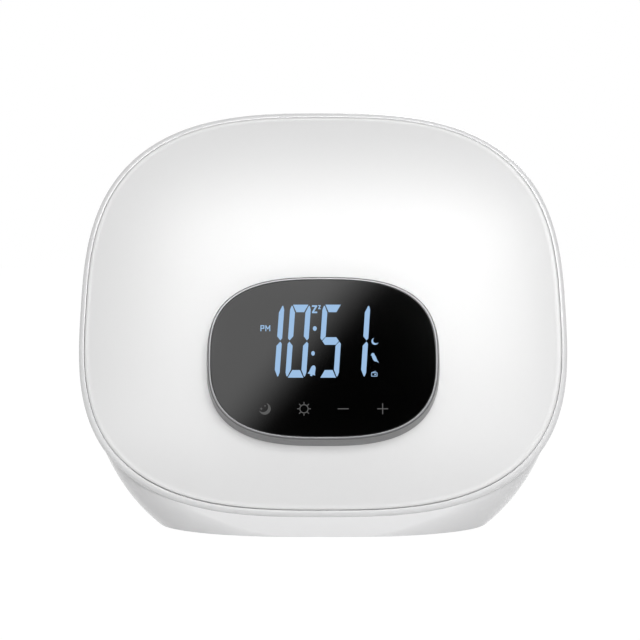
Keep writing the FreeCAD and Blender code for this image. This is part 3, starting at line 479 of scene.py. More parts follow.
def cell_bay():
    """Cup of the cell bay: a profile of (radius, depth out of the back) turned about the cap's axis."""
    turn = np.linspace(0, 2 * np.pi, 2 * WELL_STEPS, endpoint=False)
    profile = np.array([(0, BAY_BOTTOM), (BAY_RADIUS, BAY_BOTTOM), (BAY_RADIUS, BAY_TOP),
                        (CAP_LUG_BORE, BAY_TOP), (CAP_LUG_BORE, LUG_FLOOR), (CELL_BORE, LUG_FLOOR),
                        (CELL_BORE, CELL_FLOOR), (0, CELL_FLOOR)])
    radius, out = profile[:, :1], profile[:, 1:]
    x = CELL_PLACE[0] + radius * np.cos(turn)
    z = CELL_PLACE[1] + radius * np.sin(turn)
    points = np.stack([x, np.broadcast_to(BACK_Y + out, x.shape), z], axis=-1)
    cup = mesh_object("cell_bay", points, grid_faces(len(profile), len(turn), False, True))
    return sharpen(merge(cup), 40)


def back_panels():
    """The flat back: an outer plate with the grille's pocket and an inner one that the grille rests on."""
    s = sizes()
    outline = housing_rings(SIDE_STEPS, s.rim_depth, BACK_Y, RIM_STEP)[-1][:, [0, 2]] * (-1, 1)
    shared = [pill(x, KEY_Z, *KEY_HOLE) for x in KEY_PLACES]
    shared.append(circle(-JACK_PLACE[0], JACK_PLACE[1], JACK_HOLE))
    for x, y in well_places():
        z = s.centre[2] + math.cos(s.lean) * y + math.sin(s.lean) * well_reach(y)
        shared.append(circle(-x, z, WELL_BORE, WELL_BORE / math.cos(s.lean), WELL_STEPS))
    grille_pocket = circle(0, SPEAKER_Z, GRILLE_HOLE, steps=HOLE_STEPS)
    outer = back_plate("housing_back", outline, shared + [grille_pocket, cap_hole()], -GRILLE_DEPTH, 0.0)
    sound_hole = circle(0, SPEAKER_Z, SPEAKER_HOLE, steps=HOLE_STEPS)
    bay_hole = circle(-CELL_PLACE[0], CELL_PLACE[1], CAP_LUG_BORE, steps=HOLE_STEPS)
    seat = outline * SEAT_SHARE + (0, SEAT_LIFT)
    inner = back_plate("housing_back_seat", seat, shared + [sound_hole, bay_hole], -WALL, -GRILLE_DEPTH)
    return [sharpen(outer, 40), sharpen(inner, 40)]


def rim_profile():
    """Section of the rim: up the outside, a quarter ellipse over to the seam and down inside."""
    s = sizes()
    land, edge_radius, lap = 0.3 * MM, 0.1 * MM, 0.6 * MM
    inside_depth, ledge, ledge_fall = 3.0 * MM, 1.2 * MM, 0.05 * MM
    reach, rise = s.rim - land, s.rim_depth
    outside = np.array([[-s.rim, -rise - lap]])
    turn = np.radians(np.linspace(0, 90, 2 * CORNER_STEPS + 1))
    over = np.stack([-s.rim + reach * (1 - np.cos(turn)), rise * (np.sin(turn) - 1)], axis=-1)
    edge = quarter((-edge_radius, -edge_radius), (edge_radius, edge_radius), 90, 0, 4)
    inside = np.array([[0, -inside_depth], [-ledge, -inside_depth - ledge_fall]])
    return np.concatenate([outside, over, edge, inside])


class CLOCK_OT_housing(bpy.types.Operator):
    """Smooth outer wall and rounded rim over the CAD housing"""

    bl_idname = "clock.housing"
    bl_label = "Housing"

    def execute(self, context):
        white = finish("moulded_white", colours().housing, roughness=0.16, coat=0.1, specular=0.4)
        s = sizes()
        rim = swept_ring("housing_rim", rim_profile(), s.half_width, s.half_height, FACE_POWER,
                         egg=FACE_EGG)
        pieces = [sharpen(rim, 50), sharpen(housing_shell(), 55), cell_bay()] + back_panels()
        pieces += [well_tube("screw_well_%d" % i, x, y) for i, (x, y) in enumerate(well_places())]
        for piece in pieces:
            dress(piece, white, instead=("rear_housing",))
        return {"FINISHED"}


# Diffuser


def dome_profile():
    """(scale, inset, height) down the diffuser: the crown z = rise (1 - scale^3.2), then the bevel and
    skirt, then back to the middle underneath."""
    s = sizes()
    bevel_top, bevel_start, bevel = 1.3 * MM, 0.4 * MM, 1.2 * MM
    wall, skirt_depth, ledge_depth, ledge_scale = 2.2 * MM, 3.0 * MM, 0.4 * MM, 0.97
    under_reach, under_step = 0.95, 8
    scale = np.linspace(0.0, 1.0, DOME_STEPS + 1)[1:] ** 0.75
    crown = np.stack([scale, np.full_like(scale, bevel),
                      bevel_top + s.dome_rise * (1 - scale ** DOME_POWER)], axis=-1)
    turn = np.radians(np.linspace(0, 90, CORNER_STEPS + 1))[1:]
    roll = np.stack([np.ones_like(turn), bevel * (1 - np.sin(turn)),
                     bevel_start + (bevel_top - bevel_start) * np.cos(turn)], axis=-1)
    skirt = np.array([[1, 0, -skirt_depth], [1, wall, -skirt_depth], [ledge_scale, wall, -ledge_depth]])
    under = crown[::-under_step].copy()
    under = under[under[:, 0] < under_reach]
    under[:, 2] -= wall
    return np.concatenate([crown, roll, skirt, under])


class CLOCK_OT_diffuser(bpy.types.Operator):
    """Crowned opal light face with its bright bevel"""

    bl_idname = "clock.diffuser"
    bl_label = "Diffuser"

    def execute(self, context):
        s = sizes()
        profile = dome_profile()
        scale, inset, height = (profile[:, k][:, None] for k in range(3))
        turn = np.linspace(0, 2 * np.pi, RING_STEPS, endpoint=False)[None, :]
        x, y = superellipse(turn, (s.half_width - s.seam - inset) * scale,
                            (s.half_height - s.seam - inset) * scale, FACE_POWER, FACE_EGG)
        points = np.stack([x, y, np.broadcast_to(height, x.shape)], axis=-1)
        rows = len(profile)
        quads = grid_faces(rows, RING_STEPS, False, True)
        ends = [np.arange(RING_STEPS)[::-1], (rows - 1) * RING_STEPS + np.arange(RING_STEPS)]
        dome = mesh_object("diffuser_dome", from_face(points), quads, ends)
        opal = finish("opal_satin", colours().diffuser, roughness=0.38, specular=0.6, bump=0.02)
        dress(sharpen(dome, 50), opal, instead=("front_diffuser",))
        return {"FINISHED"}


# Display pod. Depths are measured out of the face, insets from the pod's outline.
BEZEL_BACK = 3.2 * MM
BEZEL_STRAIGHT = 13 * MM
BEZEL_DRAFT = 0.75 * MM
BEZEL_PROUD = 0.2 * MM
BEZEL_ROUND = 0.6 * MM
BEZEL_LIP_ROUND = 0.12 * MM
BEZEL_POCKET = 1.75 * MM
BEZEL_LEDGE = 4.0 * MM
BEZEL_FOOT = 2.3 * MM
LENS_INSET = 1.8 * MM
LENS_THICKNESS = 1.8 * MM
LENS_ROUND = 0.2 * MM


def bezel_profile():
    """Section of the bezel ring: up the drafted outside, over the rounded top, down to the lens's ledge."""
    front = sizes().pod_front
    top, ledge = front + BEZEL_PROUD, front - LENS_THICKNESS
    big, small = BEZEL_ROUND, BEZEL_LIP_ROUND
    outside = np.array([[0, BEZEL_BACK], [0, BEZEL_STRAIGHT]])
    over = quarter((BEZEL_DRAFT + big, top - big), (-big, big), 0, 90)
    lip = quarter((BEZEL_POCKET - small, top - small), (small, small), 90, 0)
    inside = np.array([[BEZEL_POCKET, ledge], [BEZEL_LEDGE, ledge], [BEZEL_FOOT, BEZEL_BACK]])
    return np.concatenate([outside, over, lip, inside])


def lens_surface():
    """The cover lens: a superellipse with a rounded edge, flat in front and behind."""
    s = sizes()
    front = s.pod_front
    roll = quarter((LENS_INSET + LENS_ROUND, front - LENS_ROUND), (-LENS_ROUND, LENS_ROUND), 90, 0)
    rows = np.concatenate([roll, np.array([[LENS_INSET, front - LENS_THICKNESS]])])
    turn = np.linspace(0, 2 * np.pi, RING_STEPS, endpoint=False)[None, :]
    x, y = superellipse(turn, s.pod_half_width - rows[:, :1], s.pod_half_height - rows[:, :1], POD_POWER)
    points = np.stack([x, y - s.pod_drop, np.broadcast_to(rows[:, 1:], x.shape)], axis=-1)
    quads = grid_faces(len(rows), RING_STEPS, False, True)
    ends = [np.arange(RING_STEPS)[::-1], (len(rows) - 1) * RING_STEPS + np.arange(RING_STEPS)]
    return mesh_object("cover_lens_black", from_face(points), quads, ends)


class CLOCK_OT_pod(bpy.types.Operator):
    """Drafted bezel ring and the black cover lens in it"""

    bl_idname = "clock.pod"
    bl_label = "Display pod"

    def execute(self, context):
        s = sizes()
        ring = swept_ring("pod_bezel_ring", bezel_profile(), s.pod_half_width, s.pod_half_height, POD_POWER,
                          drop=s.pod_drop)
        metal = finish("satin_metal", colours().bezel, roughness=0.3, metallic=1.0, change=0.15)
        dress(sharpen(ring, 35), metal, instead=("pod_bezel",))
        black = finish("lens_black", colours().lens, roughness=0.05, change=0.02)
        dress(sharpen(lens_surface(), 50), black, instead=("cover_lens",))
        return {"FINISHED"}


# Lit display. Its outlines are in millimetres on the lens, x right and y up from the pod's middle.
DIGIT_TOP = 19.71
DIGIT_BOTTOM = -7.38
DIGIT_WIDTH = 7.56
SLANT = 0.067
BAR = 2.8
POST = 1.86
GAP = 0.13
SEGMENTS = {"0": "abcdef", "1": "bc", "5": "afgcd"}
DIGITS = (("1", -23.5), ("0", -13.79), ("5", -1.94), ("1", 7.98))
COLON = ((-3.04, 10.82, 0.72, 0.87), (-3.67, 1.59, 0.65, 0.85))
PRINT_SUNK = 0.02 * MM
PRINT_PROUD = 0.03 * MM


def segment(kind):
    """A bar of a digit, with mitred ends, in a frame from (0, 0) to the digit's width and height.

    The joints lie on slanting lines: a post's outer corner is cut back a little, its inner one by the bar.
    """
    wide, high = DIGIT_WIDTH, DIGIT_TOP - DIGIT_BOTTOM
    half, tip, lead = high / 2, 0.45, 0.95
    if kind in "ad":
        side = [(lead, high), (wide - lead, high), (wide - lead - POST + tip, high - BAR),
                (lead + POST - tip, high - BAR)]
        return side if kind == "a" else [(x, high - y) for x, y in side][::-1]
    if kind == "g":
        left, right, point = 0.75, wide - 0.75, 1.05
        return [(left, half), (left + point, half + BAR / 2), (right - point, half + BAR / 2),
                (right, half), (right - point, half - BAR / 2), (left + point, half - BAR / 2)]
    side = [(0, half + 1.0), (0, high - 1.9), (0.35, high - 0.75), (0.6, high - 0.35), (0.85, high - 0.6),
            (POST, high - BAR - GAP), (POST, half + 1.75), (0.6, half + GAP + 0.1)]
    if kind in "ce":
        side = [(x, high - y) for x, y in side][::-1]
    if kind in "bc":
        side = [(wide - x, y) for x, y in side][::-1]
    return side


def slanted(points, x):
    """A digit's bar at its place, x growing by the slant times the height."""
    return [(x + px + SLANT * py, DIGIT_BOTTOM + py) for px, py in points]


def turned(points, x, y, turn):
    """Points turned about their middle and carried to a place."""
    c, s = math.cos(turn), math.sin(turn)
    return [(x + c * px - s * py, y + s * px + c * py) for px, py in points]


def pairs(x, y):
    """Points from two rows of coordinates."""
    return list(zip(x.tolist(), y.tolist()))


def disc(x, y, rx, ry=None, steps=20):
    """A circle, or an ellipse if a second radius is given."""
    return circle(x, y, rx, ry, steps).tolist()


def bar(x0, y0, x1, y1, width):
    """A straight stroke between two points."""
    along = np.array([x1 - x0, y1 - y0]) / math.hypot(x1 - x0, y1 - y0)
    side = np.array([-along[1], along[0]]) * width / 2
    a, b = np.array([x0, y0]), np.array([x1, y1])
    return [tuple(a + side), tuple(a - side), tuple(b - side), tuple(b + side)]


def crescent(x, y, radius, turn, bite=0.45):
    """A moon: the outer arc of one circle closed by the inner arc of a shifted one."""
    outer = np.linspace(math.radians(60), math.radians(300), 18)
    ends = radius * np.array([math.cos(outer[0]), math.sin(outer[0])])
    centre = bite * radius
    inner_r = math.hypot(ends[0] - centre, ends[1])
    first = math.atan2(-ends[1], ends[0] - centre) % (2 * math.pi)
    last = math.atan2(ends[1], ends[0] - centre)
    inner = np.linspace(first, last, len(outer))[1:-1]
    px = np.concatenate([radius * np.cos(outer), centre + inner_r * np.cos(inner)])
    py = np.concatenate([radius * np.sin(outer), inner_r * np.sin(inner)])
    return turned(pairs(px, py), x, y, turn)


def star(x, y, radius):
    """A star with four points, its waist at 0.35 of its radius."""
    corner = np.arange(8)
    turn = np.pi / 2 + corner * np.pi / 4
    reach = np.where(corner % 2 == 0, radius, 0.35 * radius)
    return pairs(x + reach * np.cos(turn), y + reach * np.sin(turn))


def ring_stroke(x, y, radius, width):
    """A round stroke, as short straight pieces that meet."""
    inner, outer = disc(x, y, radius - width / 2), disc(x, y, radius + width / 2)
    return [[inner[i - 1], outer[i - 1], outer[i], inner[i]] for i in range(len(inner))]


def letter_p(x, y, high, width, stroke):
    """A P: its stem, the two bars of its bow and the bow's side."""
    top, waist, right = y + high - stroke / 2, y + high * 0.48, x + width
    return [bar(x, y, x, y + high, stroke), bar(x, top, right, top, stroke),
            bar(x, waist, right, waist, stroke), bar(right, waist - stroke / 2, right, y + high, stroke)]


def letter_m(x, y, high, width, stroke):
    """An M: two stems and the two slants that meet between them."""
    top, low, right, middle = y + high - stroke / 2, y + high * 0.35, x + width, x + width / 2
    return [bar(x, y, x, y + high, stroke), bar(right, y, right, y + high, stroke),
            bar(x, top, middle, low, stroke), bar(right, top, middle, low, stroke)]


def letter_z(x, y, high, width, stroke):
    """A Z: two bars and the slant between them."""
    half = stroke / 2
    top, low, right = y + high - half, y + half, x + width
    return [bar(x, top, right, top, stroke), bar(right - half, top, x + half, low, stroke),
            bar(x, low, right, low, stroke)]


def bell(x, y, width, height, turn):
    """A bell: a round crown that flares to its mouth, half-width 0.34 (1 - t^4)^0.5 + 0.16 (1 - t)^5 of the
    width at the share t of its height, with a clapper under it."""
    t = np.linspace(0, 1, 14)
    half = width * (0.34 * np.sqrt(1 - t ** 4) + 0.16 * (1 - t) ** 5)
    right = pairs(half, t * height)
    body = right + [(-px, py) for px, py in right[-2::-1]]
    clapper = disc(0, -0.08 * height, 0.16 * width, 0.1 * height, 12)
    return [turned(outline, x, y, turn) for outline in (body, clapper)]


def bird(x, y, size):
    """A small perched bird, drawn in a unit frame: round head, beak, slanting oval body and a thin tail."""
    head = disc(-0.2, 0.3, 0.17, 0.19, steps=14)
    beak = [(-0.3, 0.38), (-0.44, 0.25), (-0.3, 0.2)]
    turn = np.linspace(0, 2 * np.pi, 20, endpoint=False)
    along, across = 0.38 * np.sin(turn), 0.21 * np.cos(turn)
    body = pairs(across - 0.35 * along - 0.06, along - 0.02)
    tail = [(0.0, -0.3), (0.42, -0.55), (0.3, -0.38), (0.16, -0.1)]
    return [[(x + size * px, y + size * py) for px, py in outline] for outline in (head, beak, body, tail)]


def radio(x, y, size):
    """A box with a dial and an aerial."""
    w, h, line = size * 0.5, size * 0.32, size * 0.12
    box = [bar(x - w, y + h, x + w, y + h, line), bar(x - w, y - h, x + w, y - h, line),
           bar(x - w, y - h, x - w, y + h, line), bar(x + w, y - h, x + w, y + h, line)]
    dial = disc(x + w * 0.3, y, size * 0.14, steps=12)
    aerial = bar(x - w, y + h, x + w * 0.6, y + h + size * 0.3, line * 0.8)
    return box + [dial, aerial]


def prisms(name, outlines, place):
    """Flat closed pieces, one for each outline. place(points, side) puts an outline's points in the CAD
    frame, with side 0 for the buried face and 1 for the one that shows."""
    points, faces = [], []
    for outline in outlines:
        area = sum(a[0] * b[1] - b[0] * a[1] for a, b in zip(outline, outline[1:] + outline[:1]))
        loop = np.array(outline if area > 0 else outline[::-1]) * MM
        first, count = len(points), len(loop)
        points += place(loop, 0).tolist() + place(loop, 1).tolist()
        buried = [first + i for i in range(count)]
        shown = [first + count + i for i in range(count)]
        faces += [buried[::-1], shown]
        faces += [[buried[i - 1], buried[i], shown[i], shown[i - 1]] for i in range(count)]
    mesh = bpy.data.meshes.new(name)
    mesh.from_pydata(points, [], faces)
    mesh.validate()
    return linked(name, mesh)


def plate(name, outlines):
    """Signs on the lens, in millimetres from the pod's middle, a few hundredths of a millimetre thick."""
    s = sizes()
    depths = (s.pod_front - PRINT_SUNK, s.pod_front + PRINT_PROUD)

    def place(loop, side):
        depth = np.full(len(loop), depths[side])
        return from_face(np.stack([loop[:, 0], loop[:, 1] - s.pod_drop, depth], axis=-1))

    return prisms(name, outlines, place)


class CLOCK_OT_display(bpy.types.Operator):
    """Lit digits and small signs of the display"""

    bl_idname = "clock.display"
    bl_label = "Lit display"

    def execute(self, context):
        blue = colours().digits
        lit = finish("lit_segments", (0.004, 0.006, 0.009), roughness=0.5, specular=0.0, glow=blue)
        outlines = []
        for digit, x in DIGITS:
            outlines += [slanted(segment(kind), x) for kind in SEGMENTS[digit]]
        outlines += [disc(*dot) for dot in COLON]
        dress(plate("time_digits", outlines), lit)
        small = letter_p(x=-22.74, y=9.81, high=2.24, width=1.06, stroke=0.36)
        small += letter_m(x=-20.95, y=9.81, high=2.24, width=1.45, stroke=0.32)
        small += letter_z(x=-4.1, y=16.54, high=2.95, width=1.95, stroke=0.6)
        small += letter_z(x=-1.8, y=18.03, high=1.5, width=0.9, stroke=0.34)
        small += bell(x=-4.25, y=-6.2, width=2.9, height=3.5, turn=-0.28)
        small.append(crescent(x=18.95, y=6.05, radius=1.3, turn=0.75))
        small += bird(x=18.9, y=0.0, size=3.6)
        small += radio(x=18.65, y=-6.2, size=2.0)
        dress(plate("display_signs", small), lit)
        return {"FINISHED"}


# Signs printed into the faces of the back's keys. Their outlines are in millimetres.
KEY_FRONT = 33.2 * MM
KEY_PRINT_SUNK = 0.05 * MM
KEY_PRINT_PROUD = 0.005 * MM
KEY_SIGN = 3.4


def note(x, y, size):
    """A pair of joined notes."""
    line, foot, top = size * 0.13, y - size * 0.36, y + size * 0.42
    stems = (x - size * 0.3, x + size * 0.3)
    heads = [disc(stem - size * 0.12, foot, size * 0.16, size * 0.12, 14) for stem in stems]
    lines = [bar(stem, foot, stem, y + size * 0.45, line * 0.7) for stem in stems]
    return heads + lines + [bar(x - size * 0.35, top, x + size * 0.35, top, line * 1.6)]


def clock_face(x, y, size):
    """A dial with two hands."""
    hands = [bar(x, y, x, y + size * 0.34, size * 0.1), bar(x, y, x + size * 0.24, y, size * 0.1)]
    return ring_stroke(x, y, size * 0.48, size * 0.1) + hands


def back_sign(name, outlines, x):
    """Signs in a key's face, drawn as seen from behind, in millimetres from its middle."""
    depths = (KEY_FRONT - KEY_PRINT_SUNK, KEY_FRONT + KEY_PRINT_PROUD)

    def place(loop, side):
        depth = np.full(len(loop), depths[side])
        return np.stack([x - loop[:, 0], depth, KEY_Z + loop[:, 1]], axis=-1)

    return prisms(name, outlines, place)


class CLOCK_OT_key_signs(bpy.types.Operator):
    """Printed signs on the four keys of the back"""

    bl_idname = "clock.key_signs"
    bl_label = "Key signs"

    def execute(self, context):
        ink = finish("key_print", (0.16, 0.16, 0.165), roughness=0.5)
        drawn = {"key_clock": clock_face(0, 0, KEY_SIGN),
                 "key_alarm": bell(0, -1.5, width=2.7, height=3.1, turn=0.0),
                 "key_sound": note(0, 0, KEY_SIGN),
                 "key_radio": radio(0, -0.2, size=2.6)}
        for (key, outlines), x in zip(drawn.items(), KEY_PLACES[::-1]):
            dress(back_sign(key + "_sign", outlines, x), ink, body=key)
        return {"FINISHED"}


# Touch signs, in millimetres from the pod's middle
TOUCH_LINE = -18.82
TOUCH_PLACES = (-21.15, -6.93, 7.3, 21.6)
STROKE = 0.32
SUN_RADIUS = 1.5
RAY_START, RAY_END = 1.7, 2.5
ARM = 2.0


class CLOCK_OT_touch_signs(bpy.types.Operator):
    """Printed signs of the four touch keys, which glow with a painted grey light"""

    bl_idname = "clock.touch_signs"
    bl_label = "Touch signs"

    def execute(self, context):
        signs = colours().signs
        # Painted light: the printed signs emit their grey instead of taking it from the lamps
        painted_glow = finish("sign_print_painted_glow", (0.005, 0.005, 0.005), roughness=0.4, specular=0.0, glow=signs)
        y = TOUCH_LINE
        moon, sun, less, more = TOUCH_PLACES
        outlines = [crescent(moon, y, radius=2.15, turn=2.36, bite=0.42), star(moon - 1.3, y, 0.62),
                    star(moon + 0.1, y + 1.05, 0.45)]
        for start, end in zip(circle(sun, y, RAY_START, steps=8), circle(sun, y, RAY_END, steps=8)):
            outlines.append(bar(*start, *end, STROKE))
        outlines += ring_stroke(sun, y, SUN_RADIUS, STROKE)
        outlines += [bar(middle - ARM, y, middle + ARM, y, STROKE) for middle in (less, more)]
        outlines += [bar(more, y + side * STROKE / 2, more, y + side * ARM, STROKE) for side in (1, -1)]
        dress(plate("touch_key_signs", outlines), painted_glow)
        return {"FINISHED"}


# Finishes of the CAD nodes, by the record's slots
FINISHES = {
    "housing_white": dict(colour=(0.84, 0.84, 0.845), roughness=0.16, coat=0.1),
    "diffuser_opal": dict(colour=(0.86, 0.86, 0.86), roughness=0.4),
    "bezel_metal": dict(colour=(0.13, 0.13, 0.133), roughness=0.3, metallic=1.0),
    "lens_black": dict(colour=(0.002, 0.002, 0.002), roughness=0.05),
    "rubber_black": dict(colour=(0.03, 0.03, 0.03), roughness=0.7),
    "rubber_grey": dict(colour=(0.42, 0.42, 0.43), roughness=0.75),
    "inner_white": dict(colour=(0.8, 0.8, 0.8), roughness=0.5),
    "inner_black": dict(colour=(0.03, 0.03, 0.035), roughness=0.5),
    "clear_guide": dict(colour=(0.75, 0.82, 0.9), roughness=0.1),
    "display_glass": dict(colour=(0.1, 0.13, 0.18), roughness=0.06),
    "board_green": dict(colour=(0.03, 0.16, 0.07), roughness=0.35),
    "board_white": dict(colour=(0.78, 0.79, 0.77), roughness=0.4),
    "led_white": dict(colour=(0.9, 0.86, 0.7), roughness=0.25),
    "led_amber": dict(colour=(0.85, 0.4, 0.06), roughness=0.25),
    "screw_steel": dict(colour=(0.55, 0.55, 0.57), roughness=0.3, metallic=1.0),
    "contact_brass": dict(colour=(0.7, 0.52, 0.24), roughness=0.3, metallic=1.0),
    "copper_pad": dict(colour=(0.75, 0.42, 0.25), roughness=0.35, metallic=1.0),
    "chip_black": dict(colour=(0.04, 0.04, 0.045), roughness=0.5),
    "capacitor_can": dict(colour=(0.5, 0.51, 0.55), roughness=0.3, metallic=1.0),
    "connector_cream": dict(colour=(0.75, 0.7, 0.58), roughness=0.5),
    "ribbon_film": dict(colour=(0.62, 0.58, 0.46), roughness=0.4),
    "basket_steel": dict(colour=(0.08, 0.08, 0.09), roughness=0.4, metallic=0.6),
    "magnet_ferrite": dict(colour=(0.07, 0.07, 0.075), roughness=0.6),
    "cone_paper": dict(colour=(0.03, 0.03, 0.03), roughness=0.85),
    "cell_steel": dict(colour=(0.68, 0.68, 0.69), roughness=0.28, metallic=1.0),
}


class CLOCK_OT_finishes(bpy.types.Operator):
    """Procedural materials on every CAD node that is shown"""

    bl_idname = "clock.finishes"
    bl_label = "CAD finishes"

    def execute(self, context):
        made = {}
        slots = {part["node"]: part["material_slot"] for part in frame["record"]["subparts"]}
        for node, piece in frame["nodes"].items():
            name = slots[node]
            if name not in made:
                made[name] = finish("cad_" + name, **FINISHES[name])
            piece.data.materials.clear()
            piece.data.materials.append(made[name])
        return {"FINISHED"}


# Studio. Places and sizes are in metres, powers in watts.
CAMERA_ELEVATION = math.radians(3)
CAMERA_DISTANCE = 0.7
CAMERA_TARGET = Vector((0, -10 * MM, 80 * MM))
CAMERA_CLIP = 0.01
FOCAL_PIXELS = 1829.0
IMAGE_SIZE = 640
PICTURE_CENTRE = (323.1, 319.1)
SENSOR = 36.0
FLOOR_REACH = 4.0
FLOOR_SHADE = 0.9
FLOOR_WHITE = 0.97
FLOOR_GLOW = 1.03
WORLD_LIGHT = 0.3
CLOCK_MIDDLE = (0, -20 * MM, 85 * MM)
LENS_MIDDLE = (0, -44 * MM, 67.5 * MM)
TABLE_FRONT = (0, -0.25, 0)
LAMPS = (
    dict(name="front_soft", place=(0.1, -1.05, 0.44), target=CLOCK_MIDDLE, width=0.5, height=0.4,
         power=5.5, glossy=False),
    dict(name="back_soft", place=(0.5, 1.5, 1.0), target=CLOCK_MIDDLE, width=0.9, height=0.7,
         power=12.0, glossy=True),
    dict(name="low_soft", place=(0.0, -0.8, 1.3), target=TABLE_FRONT, width=0.6, height=0.4,
         power=0.7, glossy=False),
)
CARDS = (
    dict(name="low_glow", place=(0.0, -1.0, 0.1), target=CLOCK_MIDDLE, half_width=1.0,
         half_height=0.1, light=3.0),
    dict(name="front_glow", place=(0.15, -1.1, 0.78), target=CLOCK_MIDDLE, half_width=0.7,
         half_height=0.2, light=11.0),
    dict(name="window_glow", place=(0, -1.096, 0.531), target=LENS_MIDDLE, half_width=0.125,
         half_height=0.095, light=2.4, slope=1.2, fade=(-0.012, 0.078)),
)
EVEN = (-9.0, -8.0)


def bare_tree(owner):
    """The emptied nodes and links of a material or a world."""
    owner.use_nodes = True
    owner.node_tree.nodes.clear()
    return owner.node_tree.nodes, owner.node_tree.links


def look_along(piece, place, target, axis):
    """Puts a piece at its place with one of its axes towards the target."""
    piece.location = place
    piece.rotation_euler = (Vector(target) - Vector(place)).to_track_quat(axis, "Y").to_euler()


def lamp(name, place, target, width, height, power, glossy):
    """A soft rectangular lamp that looks at the target and shows in mirrors only if it is glossy."""
    data = bpy.data.lights.new(name, "AREA")
    data.shape = "RECTANGLE"
    data.size, data.size_y = width, height
    data.energy = power
    light = linked(name, data)
    look_along(light, place, target, "-Z")
    light.visible_camera = False
    light.visible_glossy = glossy


def seen_share(nodes, links, most):
    """The most, where a ray comes from the camera, a mirror or a glass, and nothing elsewhere."""
    path = nodes.new("ShaderNodeLightPath")
    total = path.outputs["Is Camera Ray"]
    for name in ("Is Glossy Ray", "Is Transmission Ray"):
        add = nodes.new("ShaderNodeMath")
        add.operation = "MAXIMUM"
        links.new(total, add.inputs[0])
        links.new(path.outputs[name], add.inputs[1])
        total = add.outputs[0]
    share = nodes.new("ShaderNodeMath")
    share.operation = "MULTIPLY"
    share.inputs[1].default_value = most
    links.new(total, share.inputs[0])
    return share.outputs[0]


def shown_or_lit(owner, kind, lit, shown, most):
    """Mixes two shaders for an owner's output: the shown one to the camera and in mirrors, the lit one to
    everything else."""
    nodes, links = owner.node_tree.nodes, owner.node_tree.links
    mix = nodes.new("ShaderNodeMixShader")
    links.new(seen_share(nodes, links, most), mix.inputs["Fac"])
    links.new(lit.outputs[0], mix.inputs[1])
    links.new(shown.outputs[0], mix.inputs[2])
    links.new(mix.outputs[0], nodes.new(kind).inputs["Surface"])


def backdrop_material():
    """White to the camera and in reflections, lit white to everything else, with a trace of the shadow."""
    material = bpy.data.materials.new("backdrop_white")
    nodes = bare_tree(material)[0]
    lit = nodes.new("ShaderNodeBsdfDiffuse")
    lit.inputs["Color"].default_value = (FLOOR_SHADE, FLOOR_SHADE, FLOOR_SHADE, 1)
    bright = nodes.new("ShaderNodeEmission")
    bright.inputs["Color"].default_value = (1, 1, 1, 1)
    bright.inputs["Strength"].default_value = FLOOR_GLOW
    shown_or_lit(material, "ShaderNodeOutputMaterial", lit, bright, FLOOR_WHITE)
    return material


def card_material(name, light, slope, fade):
    """A glow that rises from nothing to the light where slope x + y passes through the fade."""
    material = bpy.data.materials.new(name)
    nodes, links = bare_tree(material)
    out = nodes.new("ShaderNodeOutputMaterial")
    glow = nodes.new("ShaderNodeEmission")
    where = nodes.new("ShaderNodeTexCoord")
    split = nodes.new("ShaderNodeSeparateXYZ")
    tilt = nodes.new("ShaderNodeMath")
    tilt.operation = "MULTIPLY_ADD"
    tilt.inputs[1].default_value = slope
    ramp = nodes.new("ShaderNodeMapRange")
    ramp.inputs["From Min"].default_value, ramp.inputs["From Max"].default_value = fade
    ramp.inputs["To Max"].default_value = light
    ramp.interpolation_type = "SMOOTHSTEP"
    links.new(where.outputs["Object"], split.inputs[0])
    links.new(split.outputs["X"], tilt.inputs[0])
    links.new(split.outputs["Y"], tilt.inputs[2])
    links.new(tilt.outputs[0], ramp.inputs["Value"])
    links.new(ramp.outputs[0], glow.inputs["Strength"])
    links.new(glow.outputs[0], out.inputs["Surface"])
    return material


def rectangle(name, half_width, half_height):
    """A flat mesh of one face."""
    mesh = bpy.data.meshes.new(name)
    x, y = half_width, half_height
    mesh.from_pydata([(-x, -y, 0), (x, -y, 0), (x, y, 0), (-x, y, 0)], [], [(0, 1, 2, 3)])
    return mesh


def card(name, place, target, half_width, half_height, light, slope=0.0, fade=EVEN):
    """A card that only shows in reflections. Where no fade is given its glow is even."""
    mesh = rectangle(name, half_width, half_height)
    mesh.materials.append(card_material(name, light, slope, fade))
    piece = linked(name, mesh)
    look_along(piece, place, target, "Z")
    piece.visible_camera = False
    piece.visible_diffuse = False
    piece.visible_shadow = False
    piece.visible_transmission = False


def white_floor():
    """The table that the clock stands on."""
    mesh = rectangle("floor", FLOOR_REACH, FLOOR_REACH)
    mesh.materials.append(backdrop_material())
    linked("floor", mesh)


def white_world():
    """White to the camera, a weaker light to what it falls on."""
    world = bpy.data.worlds.new("studio")
    bpy.context.scene.world = world
    nodes = bare_tree(world)[0]
    lit, shown = nodes.new("ShaderNodeBackground"), nodes.new("ShaderNodeBackground")
    lit.inputs["Color"].default_value = (1, 1, 1, 1)
    lit.inputs["Strength"].default_value = WORLD_LIGHT
    shown.inputs["Color"].default_value = (1, 1, 1, 1)
    shown_or_lit(world, "ShaderNodeOutputWorld", lit, shown, 1.0)


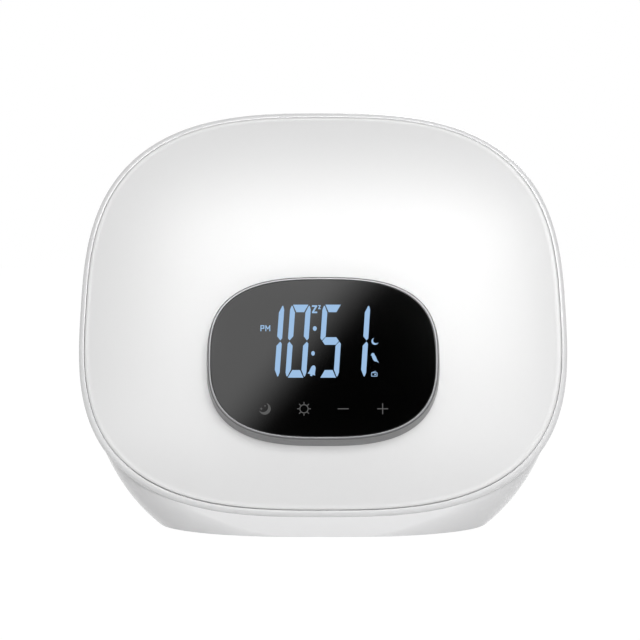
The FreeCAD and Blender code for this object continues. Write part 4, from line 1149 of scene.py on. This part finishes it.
def photo_camera():
    """The camera at the photograph's angle, its picture shifted to the photograph's centre."""
    data = bpy.data.cameras.new("camera")
    camera = linked("camera", data)
    back = Vector((0, -math.cos(CAMERA_ELEVATION), math.sin(CAMERA_ELEVATION)))
    camera.location = CAMERA_TARGET + back * CAMERA_DISTANCE
    camera.rotation_euler = (-back).to_track_quat("-Z", "Y").to_euler()
    data.sensor_width = SENSOR
    data.lens = FOCAL_PIXELS / IMAGE_SIZE * SENSOR
    data.shift_x = -(PICTURE_CENTRE[0] - IMAGE_SIZE / 2) / IMAGE_SIZE
    data.shift_y = (PICTURE_CENTRE[1] - IMAGE_SIZE / 2) / IMAGE_SIZE
    data.clip_start = CAMERA_CLIP
    bpy.context.scene.camera = camera


class CLOCK_OT_studio(bpy.types.Operator):
    """White table and surroundings, soft lamps and the camera at the photograph's angle"""

    bl_idname = "clock.studio"
    bl_label = "Studio"

    def execute(self, context):
        white_floor()
        white_world()
        for facts in LAMPS:
            lamp(**facts)
        for facts in CARDS:
            card(**facts)
        photo_camera()
        context.scene.view_settings.view_transform = "Standard"
        return {"FINISHED"}


class CLOCK_PT_panel(bpy.types.Panel):
    """Lists the steps, sizes and colours of the clock"""

    bl_idname = "CLOCK_PT_panel"
    bl_label = "Sunrise alarm clock"
    bl_space_type = "VIEW_3D"
    bl_region_type = "UI"
    bl_category = "Clock"

    def draw(self, context):
        column = self.layout.column(align=True)
        for step in STEPS:
            column.operator(step.bl_idname)
        for group in (context.scene.clock_sizes, context.scene.clock_colours):
            box = self.layout.box()
            for name in group.bl_rna.properties.keys():
                if name not in ("rna_type", "name"):
                    box.prop(group, name)


STEPS = (CLOCK_OT_housing, CLOCK_OT_diffuser, CLOCK_OT_pod, CLOCK_OT_display, CLOCK_OT_touch_signs,
         CLOCK_OT_key_signs, CLOCK_OT_finishes, CLOCK_OT_studio)
CLASSES = (ClockSizes, ClockColours) + STEPS + (CLOCK_PT_panel,)


def register():
    for cls in CLASSES:
        bpy.utils.register_class(cls)
    bpy.types.Scene.clock_sizes = PointerProperty(type=ClockSizes)
    bpy.types.Scene.clock_colours = PointerProperty(type=ClockColours)


def unregister():
    del bpy.types.Scene.clock_colours
    del bpy.types.Scene.clock_sizes
    for cls in reversed(CLASSES):
        bpy.utils.unregister_class(cls)


def main():
    register()
    bpy.ops.clock.housing()
    bpy.ops.clock.diffuser()
    bpy.ops.clock.pod()
    bpy.ops.clock.display()
    bpy.ops.clock.touch_signs()
    bpy.ops.clock.key_signs()
    bpy.ops.clock.finishes()
    bpy.ops.clock.studio()


if __name__ == "__main__":
    main()
